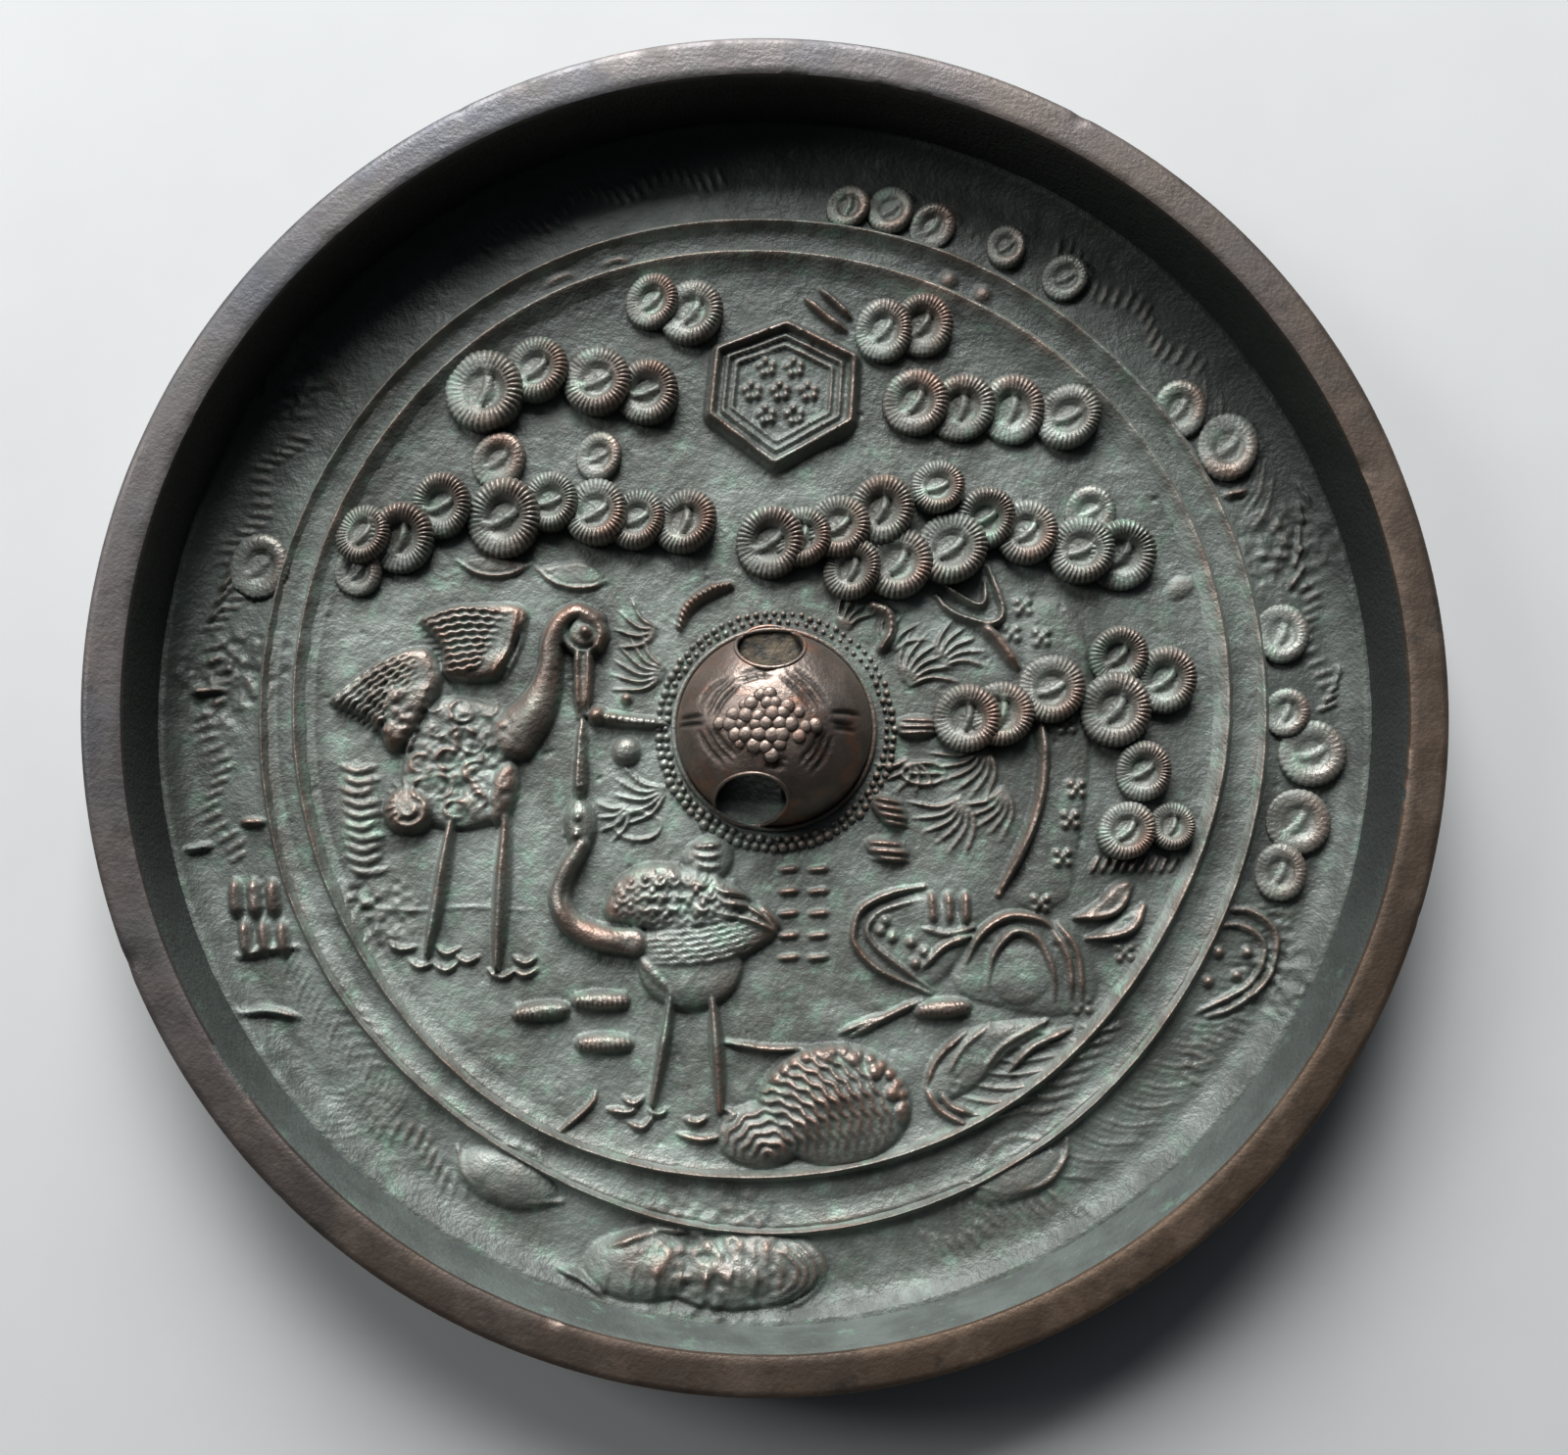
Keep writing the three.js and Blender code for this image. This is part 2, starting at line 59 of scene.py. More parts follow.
# %% Sizes
MM = 0.001
OUTER_RADIUS = 56.0
RIM_WIDTH = 3.4
PLATE_THICKNESS = 2.5
RIM_HEIGHT = 9.0
RIM_TOP = PLATE_THICKNESS + RIM_HEIGHT
WALL_DRAFT = 0.6
RIM_INNER = OUTER_RADIUS - RIM_WIDTH
FIELD_RADIUS = RIM_INNER - WALL_DRAFT
FIELD_Z = PLATE_THICKNESS
LAYOUT = FIELD_RADIUS / 52.5
KNOB_PLACE = (0.4, -2.1)
KNOB_X, KNOB_Y = KNOB_PLACE[0] * LAYOUT, KNOB_PLACE[1] * LAYOUT
KNOB_RADIUS = 8.4
KNOB_HEIGHT = 7.2
CHANNEL_WIDTH = 6.0
CHANNEL_HEIGHT = 5.8
INNER_RING = 40.1
OUTER_RING = 43.4
INNER_WOBBLE = [-0.3, 0.1, -0.2, 0, 0.8, 0.8, 0.6, 0.5, 0.8, -0.1, -0.5, -1.1]
OUTER_WOBBLE = [-0.4, -0.2, -0.3, -0.4, 0.2, 0.2, 0.1, 0.5, 0.3, 1.2, 0.6, -0.4]

# %% [markdown]
# ## A board to carve on
#
# A founder carves the picture into a flat mould. The same is done here: a board of heights, one value
# every tenth of a millimetre, takes dabs, strokes and patches of relief. Each group of forms is drawn
# on a clean sheet first, and the sheet is then laid over the board, added onto it or cut into it. So
# feathers that cross don't pile up, and a groove can follow a wing.

# %% The board and its tools
CELL = 0.1
HALF = 53.0
SIDE = int(round(2 * HALF / CELL)) + 1
AXIS = np.linspace(-HALF, HALF, SIDE)
board = np.zeros((SIDE, SIDE), np.float32)


def sheet():
    return np.zeros((SIDE, SIDE), np.float32)


def overlay(layer):
    np.maximum(board, layer, out=board)


def span(low, high):
    return max(int((low + HALF) / CELL), 0), min(int((high + HALF) / CELL) + 2, SIDE)


def dab(layer, x, y, radius, height, squeeze=1.0, turn=0.0, fullness=0.5):
    i0, i1 = span(x - radius, x + radius)
    j0, j1 = span(y - radius, y + radius)
    dx = AXIS[i0:i1][None, :] - x
    dy = AXIS[j0:j1][:, None] - y
    if turn:
        c, s = math.cos(turn), math.sin(turn)
        dx, dy = dx * c + dy * s, dy * c - dx * s
    near = 1.0 - (dx * dx + dy * dy / (squeeze * squeeze)) / (radius * radius)
    part = layer[j0:j1, i0:i1]
    np.maximum(part, height * np.clip(near, 0, 1) ** fullness, out=part)


def flow(points, step=0.12):
    p = np.array(points, float)
    ghost = np.vstack([2 * p[0] - p[1], p, 2 * p[-1] - p[-2]])
    runs = []
    for a, b, c, d in zip(ghost, ghost[1:], ghost[2:], ghost[3:]):
        count = max(2, int(math.dist(b, c) / step) + 1)
        t = np.linspace(0, 1, count, endpoint=False)[:, None]
        bend, twist = 2 * a - 5 * b + 4 * c - d, 3 * b - a - 3 * c + d
        runs.append(0.5 * (2 * b + (c - a) * t + bend * t ** 2 + twist * t ** 3))
    return np.vstack(runs + [p[-1:]])


def waved(path, size, pitch):
    along = np.gradient(path, axis=0)
    along /= np.maximum(np.hypot(along[:, 0], along[:, 1])[:, None], 1e-6)
    run = np.concatenate([[0], np.cumsum(np.hypot(*np.diff(path, axis=0).T))])
    return path + size * np.sin(2 * math.pi * run / pitch)[:, None] * np.stack([-along[:, 1], along[:, 0]],
        axis=1)


def stroke(layer, points, width, height, end_width=None, end_height=None, fullness=0.5, wave=None,
        taper=True):
    path = flow(points)
    if wave:
        path = waved(path, *wave)
    end_width = width if end_width is None else end_width
    end_height = height if end_height is None else end_height
    for i, (x, y) in enumerate(path):
        share = i / (len(path) - 1)
        fat = min(1.0, 0.5 + 2.4 * min(share, 1 - share)) if taper else 1.0
        dab(layer, x, y, 0.5 * fat * (width + (end_width - width) * share),
            fat * (height + (end_height - height) * share), fullness=fullness)


def strokes(layer, runs, width, height, end_width=None, wave=None):
    for points in runs:
        stroke(layer, points, width, height, end_width, wave=wave)


def blade(layer, points, width, height):
    path = flow(points)
    for i, (x, y) in enumerate(path):
        fat = 0.3 + 0.7 * math.sin(math.pi * (0.06 + 0.88 * i / (len(path) - 1)))
        dab(layer, x, y, 0.5 * width * fat, height * (0.55 + 0.45 * fat), fullness=0.9)


def dots(layer, places, radius, height):
    for x, y in places:
        dab(layer, x, y, radius, height)


def blurred(values, reach):
    steps = max(1, int(round(reach / CELL)))
    for axis in (0, 1):
        padded = np.take(values, np.clip(np.arange(-steps - 1, values.shape[axis] + steps), 0,
            values.shape[axis] - 1), axis=axis)
        total = np.cumsum(padded, axis=axis, dtype=np.float64)
        high = np.take(total, np.arange(2 * steps + 1, total.shape[axis]), axis=axis)
        low = np.take(total, np.arange(0, total.shape[axis] - 2 * steps - 1), axis=axis)
        values = (high - low) / (2 * steps + 1)
    return values.astype(np.float32)


def patch(layer, outline, height, soft=0.5):
    path = flow(outline + outline[:1], 0.5)
    i0, i1 = span(path[:, 0].min() - 1, path[:, 0].max() + 1)
    j0, j1 = span(path[:, 1].min() - 1, path[:, 1].max() + 1)
    gx, gy = np.meshgrid(AXIS[i0:i1], AXIS[j0:j1])
    inside = np.zeros(gx.shape, bool)
    for (xa, ya), (xb, yb) in zip(path, path[1:]):
        if ya != yb:
            inside ^= ((ya > gy) != (yb > gy)) & (gx < (xb - xa) * (gy - ya) / (yb - ya) + xa)
    pillow = np.clip(blurred(blurred(inside.astype(np.float32), soft), soft) * 2 - 1, 0, 1) ** 0.5
    part = layer[j0:j1, i0:i1]
    np.maximum(part, height * pillow, out=part)


def grain(size, seed):
    count = int(2 * HALF / size) + 2
    rough = np.random.default_rng(seed).random((count, count))
    places = np.linspace(0, count - 1.001, SIDE)
    low = places.astype(int)
    share = places - low
    share = share * share * (3 - 2 * share)
    rows = rough[low] * (1 - share)[:, None] + rough[low + 1] * share[:, None]
    return (rows[:, low] * (1 - share) + rows[:, low + 1] * share - 0.5).astype(np.float32)


def arc(centre, radius, start, end, count=9, squash=1.0):
    angles = np.radians(np.linspace(start, end, count))
    return [(centre[0] + radius * math.cos(a), centre[1] + radius * squash * math.sin(a)) for a in angles]


def lerp(a, b, share):
    return (a[0] + (b[0] - a[0]) * share, a[1] + (b[1] - a[1]) * share)


def fan(upper, lower, count, bend=0.0):
    runs = []
    for i in range(count):
        share = i / (count - 1)
        start, end = lerp(upper[0], lower[0], share), lerp(upper[1], lower[1], share)
        middle = lerp(start, end, 0.5)
        runs.append([start, (middle[0], middle[1] + bend), end])
    return runs


print("carving board", SIDE, "by", SIDE)

# %% [markdown]
# ## The standing crane
#
# The crane on the left stands with its head turned down. Its wings are fans of wavy feathers that lie
# one over the other, its body is covered with open rings, and its neck and legs are single rods. The
# broad forms go on the board first, as pillows, and the feathers are laid onto them.

# %% The standing crane
base = sheet()
patch(base, [(-20.4, -0.6), (-22, -4.6), (-22.8, -9.8), (-28.6, -10.8), (-31.8, -7.4), (-31, -2.4),
    (-28.4, 0.6), (-24.2, 0.0)], 1.0, 0.8)
patch(base, [(-31, 7.4), (-28, 8.5), (-25.5, 8.8), (-21.2, 8.4), (-22.4, 5), (-23.8, 2.2), (-28.2, 2.2),
    (-28.6, 5)], 1.3, 0.4)
patch(base, [(-38.6, 0), (-36, 2.2), (-33, 4.2), (-30.5, 5), (-29.3, 4.4), (-28.6, 1.4), (-32.4, -4.4),
    (-34.6, -1.6)], 1.2, 0.4)
dab(base, -31, -9.2, 2.4, 1.9, 0.9, 0.4)
dab(base, -23.1, -7.6, 3.0, 1.7, 0.42, math.radians(80))
overlay(base)

onto = sheet()
for k in range(9):
    share = k / 8
    strokes(onto, [[lerp((-30.8, 7.1), (-28.2, 2.7), share), lerp((-26.8, 8.2), (-26.6, 2.9), share),
        lerp((-22.8, 7.9), (-25.0, 3.4), share)]], 0.36, 0.55, wave=(0.09, 1.0))
    strokes(onto, [[lerp((-38.3, 0.0), (-34.6, -2.4), share), lerp((-34.6, 2.9), (-32.4, -0.6), share),
        lerp((-30.8, 4.6), (-30.6, 0.8), share)]], 0.36, 0.52, wave=(0.08, 1.1))
    strokes(onto, [[lerp((-32.6, 1.8), (-29.6, 1.6), share), lerp((-33.2, -1.6), (-30.6, -2.2), share),
        lerp((-33.2, -3.4), (-31.6, -5.0), share)]], 0.40, 0.6, 0.3, wave=(0.08, 0.9))
strokes(onto, [[(-22.0, 8.0), (-22.5, 5.2), (-24.0, 2.4)], [(-21.4, 8.1), (-21.8, 5.4), (-23.2, 2.2)]], 0.4,
    0.6)
ring_places = np.random.default_rng(12)
for x, y in [(-29, -2.3), (-28.3, -7.5), (-27.7, -4.8), (-25.6, -3.2), (-25.6, -6), (-25.2, -8.6),
        (-30.4, -5.0), (-26.8, -0.9), (-24.4, -0.6), (-27.0, -9.4), (-23.9, -4.6), (-29.4, -0.4),
        (-26.9, -2.8), (-29.6, -7.2)]:
    begin = ring_places.uniform(0, 360)
    stroke(onto, arc((x + ring_places.uniform(-0.3, 0.3), y + ring_places.uniform(-0.3, 0.3)),
        ring_places.uniform(0.5, 1.2), begin, begin + ring_places.uniform(230, 340), 9,
        ring_places.uniform(0.7, 1.1)), 0.3, 0.34)
strokes(onto, [arc((-31, -9.2), 1.5, 200, 420, 7), arc((-31, -9.2), 0.6, 200, 380, 5)], 0.5, 0.45)
for k in range(7):
    angle = math.radians(110 + 22 * k)
    stroke(onto, [(-31 + 1.2 * math.cos(angle), -8.6 + 1.2 * math.sin(angle)), (-31 + 2.3 * math.cos(angle),
        -8.6 + 2.3 * math.sin(angle))], 0.3, 0.35)
board += onto

neck = sheet()
stroke(neck, [(-22.2, -2.7), (-20.7, -0.9), (-19.7, 1.1), (-19.2, 3.4)], 4.6, 2.0, 2.1, fullness=0.45,
    taper=False)
stroke(neck, [(-19.2, 3.4), (-19.0, 5.6), (-18.2, 7.2), (-16.8, 7.9), (-15.3, 7.3)], 2.1, 2.0, 1.9,
    fullness=0.4, taper=False)
stroke(neck, [(-15.3, 7.3), (-14.7, 6.2), (-15.0, 5.0)], 1.5, 1.9, 0.9, fullness=0.4, taper=False)
dab(neck, -16.4, 6.1, 1.9, 1.7, fullness=0.3)
stroke(neck, [(-16.7, 5.4), (-16.7, 2), (-16.6, -1.2)], 0.85, 1.7, 0.55, 1.2)
stroke(neck, [(-15.8, 5.4), (-15.8, 2), (-16, -1.0)], 0.75, 1.7, 0.5, 1.2)
stroke(neck, [(-16.25, 5.3), (-16.2, 2), (-16.3, -1.2)], 1.1, 1.1, 0.6, 1.0)
blade(neck, [(-27.5, -10.2), (-28.4, -16), (-29.4, -21.7)], 1.35, 1.6)
blade(neck, [(-22.8, -9.8), (-23.1, -16), (-23.4, -22.8)], 1.55, 1.7)
overlay(neck)

small = sheet()
dab(small, -16.0, 6.2, 0.75, 2.5)
overlay(small)
groove = sheet()
stroke(groove, [(-22.6, 0.3), (-21.0, 1.5), (-20.2, 3.2), (-19.9, 5.4), (-18.8, 7.6), (-17.0, 8.7)], 0.35,
    0.4)
stroke(groove, arc((-16.2, 6.2), 1.35, 100, 330, 9), 0.4, 0.45)
stroke(groove, [(-22.2, 3.0), (-22.9, 1.2), (-24.6, 0.8)], 0.4, 0.5)
board -= groove

feet = sheet()
strokes(feet, [[(-32.7, -20.6), (-31.7, -21.2), (-30.3, -21)], [(-31, -22.1), (-30, -22.7), (-28.8, -22.3)],
    [(-28.6, -21), (-27.7, -21.6), (-26.6, -21.1)], [(-28.8, -22.5), (-27.7, -23), (-26.7, -22.3)],
    [(-27, -21.7), (-26, -22.3), (-24.9, -21.8)], [(-24.2, -23), (-23, -23.6), (-21.8, -23)], [(-22, -21.9),
    (-21, -22.4), (-20, -21.9)], [(-21.9, -23), (-21, -23.4), (-19.9, -22.9)]], 0.55, 0.7, 0.4)
stroke(feet, [(-36.2, -17.4), (-31, -17.9), (-26, -17.6), (-19.8, -17.9)], 0.35, 0.15)
overlay(feet)

# %% [markdown]
# ## The bending crane
#
# The second crane bends down under the first one. Its head and beak point up, its neck runs in an
# S into a back of small scales, and long quills lie behind.

# %% The bending crane
base = sheet()
patch(base, [(-14.8, -18.6), (-13.4, -15.4), (-10.5, -13.8), (-6, -14.4), (-2.5, -16), (-1.4, -17.4),
    (-3, -19.2), (-9, -19.6)], 1.5, 0.8)
patch(base, [(-14, -19.6), (-8, -19.4), (-1.4, -17.2), (0.9, -19.5), (-1.5, -21.4), (-5, -22.6),
    (-10, -22.4)], 1.1, 0.5)
dab(base, -6.8, -22.5, 4.5, 1.5, 0.86, 0.0, 0.35)
overlay(base)

onto = sheet()
for row in range(4):
    for column in range(9):
        x = -13.2 + 1.25 * column + 0.6 * (row % 2)
        y = -15.2 - 1.05 * row - 0.02 * (x + 8) ** 2
        if x < -2.6:
            stroke(onto, arc((x, y), 0.55, 190, 350, 5), 0.32, 0.30)
            dab(onto, x, y + 0.1, 0.34, 0.26)
strokes(onto, fan([(-12.8, -19.4), (-0.6, -18.0)], [(-9.6, -22.4), (-0.6, -20.9)], 7, -0.45), 0.38, 0.38,
    wave=(0.05, 1.6))
strokes(onto, [[(-4.4, -16.2), (-2.4, -16.5), (-1.2, -17.2)], [(-4, -17.2), (-1.8, -17.6), (0, -18.9)],
    [(-4.4, -18.2), (-2, -18.6), (0.4, -19.6)]], 0.55, 0.75, 0.3)
for k in range(5):
    strokes(onto, [[(-11.2 + 0.5 * k, -21.6 - 0.5 * k), (-10.4 + 0.5 * k, -23.4 - 0.45 * k)]], 0.3, 0.3)
strokes(onto, [[(-1.0, -17.2), (0.6, -18.8), (1.0, -19.6)]], 0.4, 0.5)
board += onto

neck = sheet()
stroke(neck, [(-16.2, -12.2), (-17.5, -14.6), (-18.1, -16.9), (-17.0, -19.0), (-14.6, -20.2),
    (-11.6, -20.6)], 1.5, 1.9, 2.5, fullness=0.35, taper=False)
dab(neck, -16.4, -10.5, 2.3, 1.7, 0.6, math.radians(95))
stroke(neck, [(-16.5, -8.6), (-16.4, -5), (-16.3, -1.2)], 1.3, 1.6, 0.75, 1.2)
blade(neck, [(-8.3, -24.2), (-9.1, -29.5), (-10, -34.4)], 1.2, 1.7)
blade(neck, [(-4.9, -25.4), (-4.5, -29.8), (-4.2, -34.9)], 1.35, 1.7)
overlay(neck)
small = sheet()
dab(small, -16.5, -9.9, 0.6, 2.2)
dab(small, -16.6, -11.4, 0.7, 2.2)
overlay(small)
groove = sheet()
stroke(groove, [(-16.4, -8.2), (-16.3, -5), (-16.2, -1.8)], 0.3, 0.4)
stroke(groove, [(-16.6, -14), (-17.6, -17), (-16.2, -19)], 0.3, 0.3)
board -= groove

feet = sheet()
strokes(feet, [[(-12.4, -33.9), (-11.6, -34.3), (-10.7, -33.8)], [(-13.8, -34.8), (-12, -35),
    (-11.3, -34.5)], [(-10.3, -34.9), (-9.4, -35.2), (-8.7, -34.8)], [(-12, -35.9), (-10.8, -36.3),
    (-9.8, -35.2)], [(-7.3, -35.6), (-6.2, -35.9), (-5.3, -35.5)], [(-7.8, -36.9), (-5.8, -37.3),
    (-3.8, -37)], [(-17.8, -36.6), (-15.3, -34.4), (-14.8, -33.3)], [(-3.8, -34.8), (-2.8, -35.2),
    (-2, -34.7)]], 0.6, 0.75, 0.4)
overlay(feet)

# %% [markdown]
# ## The tortoise's head, fins and tail
#
# The knob is the shell, so head, fins and tail stick out of it onto the field.

# %% Head, fins and tail
limbs = sheet()
stroke(limbs, [(-9.1, -1.7), (-12, -1.5), (-15.1, -1.1)], 1.0, 1.0, 1.5, 1.4)
dots(limbs, [(-15.0, -1.0)], 0.85, 1.6)
dab(limbs, -12.5, 0.5, 0.5, 0.7)
dab(limbs, -12.5, -4.1, 1.25, 1.1)
dab(limbs, -5.3, -13.5, 2.3, 1.1, 0.85, 0.6)
dab(limbs, 12.9, -1.9, 2.0, 0.7, 0.55)
strokes(limbs, [[(-7.9, 6.8), (-7.2, 8.6), (-5.4, 10), (-3.5, 10.6)], [(9, 8.8), (10.4, 8), (10.6, 6.4),
    (9.8, 5)]], 1.0, 0.9)
dab(limbs, 10.4, -9.2, 1.9, 0.9, 0.6, -0.7)
dab(limbs, 10.2, -12.6, 2.0, 0.8, 0.5, -0.3)
overlay(limbs)
onto = sheet()
strokes(onto, fan([(11.4, -1.3), (14.4, -1.4)], [(11.4, -2.5), (14.4, -2.4)], 3), 0.35, 0.35)
strokes(onto, fan([(-7.0, -12.2), (-4.2, -12.2)], [(-5.8, -14.8), (-4.4, -15)], 4, -0.2), 0.4, 0.4)
strokes(onto, fan([(9.2, -8.2), (11.6, -8.6)], [(9.8, -10.2), (12, -10.6)], 4), 0.4, 0.5)
strokes(onto, fan([(8.6, -12), (11.8, -12.2)], [(8.8, -13.4), (12.2, -13.6)], 3), 0.4, 0.45)
for x, y in flow([(-7.9, 6.8), (-7.2, 8.6), (-5.4, 10), (-3.5, 10.6)], 0.55):
    stroke(onto, [(x - 0.35, y + 0.3), (x + 0.35, y - 0.3)], 0.3, 0.4)
for x, y in flow([(9, 8.8), (10.4, 8), (10.6, 6.4), (9.8, 5)], 0.8):
    dab(onto, x, y, 0.45, 0.5)
for x, y in flow([(-9.4, -1.7), (-14, -1.3)], 0.6):
    stroke(onto, [(x, y - 0.4), (x, y + 0.4)], 0.28, 0.3)
board += onto

# %% [markdown]
# ## The crest
#
# Over the knob is a hexagonal crest of three raised outlines round a flower of dots.

# %% The crest
CREST_MIDDLE = (1.0, 27.9)
FLOWER_MIDDLE = (0.9, 27.9)
CREST_CORNERS = [(1.5, 34.0), (7.6, 31.0), (7.2, 25.1), (0.4, 21.3), (-5.3, 25.6), (-4.7, 31.6)]
crest = sheet()
for scale, width, height in [(1.0, 0.85, 1.5), (0.83, 0.5, 1.15), (0.70, 0.45, 1.0)]:
    corners = [lerp(CREST_MIDDLE, corner, scale * 0.985) for corner in CREST_CORNERS]
    for a, b in zip(corners, corners[1:] + corners[:1]):
        stroke(crest, [a, b], width, height, taper=False)
for a, b in zip(CREST_CORNERS, CREST_CORNERS[1:] + CREST_CORNERS[:1]):
    for share in np.linspace(0, 1, 30):
        x, y = lerp(lerp(a, b, share), CREST_MIDDLE, 0.12)
        dab(crest, x, y, 1.3, 0.7, fullness=0.15)
dab(crest, *CREST_MIDDLE, 5.4, 0.6, fullness=0.15)
overlay(crest)
onto = sheet()
for x, y in arc(FLOWER_MIDDLE, 2.5, 0, 300, 6) + [FLOWER_MIDDLE]:
    dots(onto, arc((x, y), 0.62, 20, 320, 5), 0.36, 0.45)
strokes(onto, [[(3.2, 36.5), (5, 34.9), (6.8, 33.6)], [(4.5, 37.4), (6, 36), (7.2, 34.8)]], 0.7, 0.9)
board += onto

# %% [markdown]
# ## Trunk, branches and leaves
#
# The pine's trunk is low and broad, with small groups of dots for its bark. Round it are single
# branches, ferns and bamboo leaves, all drawn with tapering strokes.

# %% Trunk, branches and leaves
low = sheet()
patch(low, [(23.2, 9.8), (27, 8.6), (28.2, 2), (27.9, -6), (26.8, -13), (25.6, -17.2), (21.4, -17.4),
    (23.0, -11), (23.4, -4), (22.4, 2)], 0.35, 0.8)
strokes(low, [[(23.5, -0.1), (24.0, -4.0), (23.6, -8.0), (22.4, -11.6), (19.9, -16.5)]], 1.0, 1.3)
strokes(low, [[(18.5, 7.3), (20.2, 5.6), (21.8, 3.4)]], 1.1, 1.1)
strokes(low, [[(-27.5, 12.7), (-25.8, 11.6), (-24, 11.3), (-22.4, 11.6), (-21, 12.4)], [(-20.5, 12.1),
    (-19.2, 10.9), (-17.4, 10.3), (-15.6, 10.4), (-14.2, 11)]], 0.4, 0.6, 0.3)
patch(low, [(-27.3, 12.7), (-25.8, 11.7), (-24, 11.4), (-22.4, 11.7), (-21.2, 12.4), (-24, 13.2)], 0.35,
    0.2)
patch(low, [(-20.3, 12.1), (-19.2, 11.0), (-17.4, 10.4), (-15.6, 10.5), (-14.4, 11), (-16.4, 12.6)], 0.35,
    0.2)
strokes(low, [[(14.6, 9.8), (15.6, 8.6), (17, 7.8), (19.5, 7.2), (20.5, 8.5), (19.3, 12.3)], [(15.2, 10.8),
    (17.5, 9.2), (18.8, 9), (19, 11)]], 0.6, 1.0)
overlay(low)
onto = sheet()
for x, y in [(22.4, 8.8), (21.3, 6.4), (23.9, 6), (26, -1.7), (26.8, -7.3), (26.2, -10), (25.5, -13.3),
        (23.5, -17.3), (30.8, -21.5), (27, -26), (9.8, -19.3), (11.5, -18.3)]:
    dots(onto, [(x - 0.5, y + 0.42), (x + 0.5, y + 0.45), (x - 0.05, y), (x - 0.45, y - 0.5),
        (x + 0.5, y - 0.45)], 0.36, 0.42)
board += onto


def leaf_spray(layer, root, reach, start, end, count):
    for i in range(count):
        angle = math.radians(start + (end - start) * i / max(1, count - 1))
        tip = (root[0] + reach * math.cos(angle), root[1] + reach * math.sin(angle))
        middle = lerp(root, tip, 0.5)
        bend = 0.12 * reach
        stroke(layer, [lerp(root, tip, 0.12), (middle[0] - bend * math.sin(angle),
            middle[1] + bend * math.cos(angle)), tip], 0.5, 0.45, 0.18)


leaves = sheet()
for root, reach, start, end, count in [((19.4, -3.2), 5.6, 190, 262, 6), ((17.4, -8), 5.4, 185, 265, 6),
        ((21, -7), 5, 200, 260, 5), ((11.6, 1.6), 5.2, 5, 80, 6), ((14.6, 3.4), 4.6, 0, 70, 5),
        ((10.6, 4.6), 3.6, 20, 100, 4), ((-8.8, 2.6), 5, 120, 195, 6), ((-9.6, 6.4), 4, 130, 200, 4),
        ((-8.6, -7.6), 5.2, 150, 215, 5), ((-12, -9), 3.4, 170, 240, 4), ((12.5, -4.6), 3.4, 190, 300, 5),
        ((6.4, 6.4), 3.4, 30, 90, 4)]:
    leaf_spray(leaves, root, reach, start, end, count)
stroke(leaves, arc((13.5, -6), 1.9, 0, 360, 12, 0.5), 0.35, 0.5)
stroke(leaves, [(11.8, -6), (15.2, -6)], 0.3, 0.45)
stroke(leaves, arc((-11.4, -10.6), 2.0, 0, 360, 12, 0.6), 0.35, 0.45)
overlay(leaves)

# %% [markdown]
# ## Stones, shore and water
#
# Stones are nested shells, the shore is a heart-shaped sandbar with its inner line, and the water is
# a set of fine ripples.

# %% Stones, shore and water
stones = sheet()
dab(stones, 5.6, -34.4, 6.6, 2.1, 0.78, 0.0, 0.6)
dab(stones, -0.6, -37, 3.9, 1.6, 0.7, 0.0, 0.6)
for x, y, turn in [(-19.6, -26.5, 0.1), (-14.5, -25.6, 0), (-14.2, -29.2, 0), (14.9, -26.3, 0.1)]:
    dab(stones, x, y, 2.6, 1.2, 0.34, turn)
dab(stones, -22.4, -40.6, 4.6, 1.2, 0.5, -0.36, 0.7)
dab(stones, 21.5, -40.6, 4.4, 0.9, 0.4, 0.42, 0.7)
dab(stones, -10.5, -47.8, 5.2, 1.8, 0.55, -0.05, 0.6)
dab(stones, -2.2, -48.2, 7.0, 2.0, 0.46, 0.05, 0.6)
dab(stones, -35.3, -10, 5.2, 0.4, 0.38, math.radians(97), 0.7)
dab(stones, 36.3, 10.5, 1.4, 0.35, 0.7, 0.5, 0.7)
patch(stones, [(17.4, -20.2), (19.2, -18.8), (22.4, -18.3), (25.4, -19.2), (27.8, -22), (28.4, -25.4),
    (25, -27), (19, -26), (15.6, -24.2)], 0.4, 0.9)
patch(stones, [(8.4, -18), (13.6, -16.6), (17.4, -19.8), (15.6, -23.2), (13.4, -24.4), (9.6, -21.8)], 0.4,
    0.6)
patch(stones, [(13.4, -33), (14.6, -30.4), (17.6, -28), (24.2, -27.4), (20.4, -30.4), (17.6, -33),
    (14.4, -34.4)], 0.6, 0.5)
overlay(stones)
onto = sheet()
dots(onto, [(9.6, -19.6), (10.6, -20.2), (10.0, -18.8), (12.2, -20.6), (13.4, -21.4), (12.6, -22.4)], 0.5,
    0.5)
veins = sheet()
for k in range(13):
    strokes(veins, [arc((0.0, -38.9), 0.7 + 0.84 * k, 4, 176, 16)], 0.44, 0.46, wave=(0.13, 1.75))
onto += veins * np.clip(stones * 1.4, 0, 1) * (AXIS[None, :] > -5) * (AXIS[None, :] < 13)
for x, y in arc((5.6, -34.6), 5.9, -10, 150, 15, 0.82):
    dab(onto, x, y, 0.55, 0.6)
dots(onto, [(9, -31.5), (10.5, -33.3), (11.4, -34.9), (7.2, -30.4), (4.9, -30.2)], 0.7, 0.7)
for x, y in [(-19.6, -26.5), (-14.5, -25.6), (-14.2, -29.2), (14.9, -26.3)]:
    for k in range(11):
        u = x - 2.1 + 0.42 * k
        stroke(onto, [(u - 0.1, y + 0.75), (u + 0.15, y), (u, y - 0.75)], 0.26, 0.4)
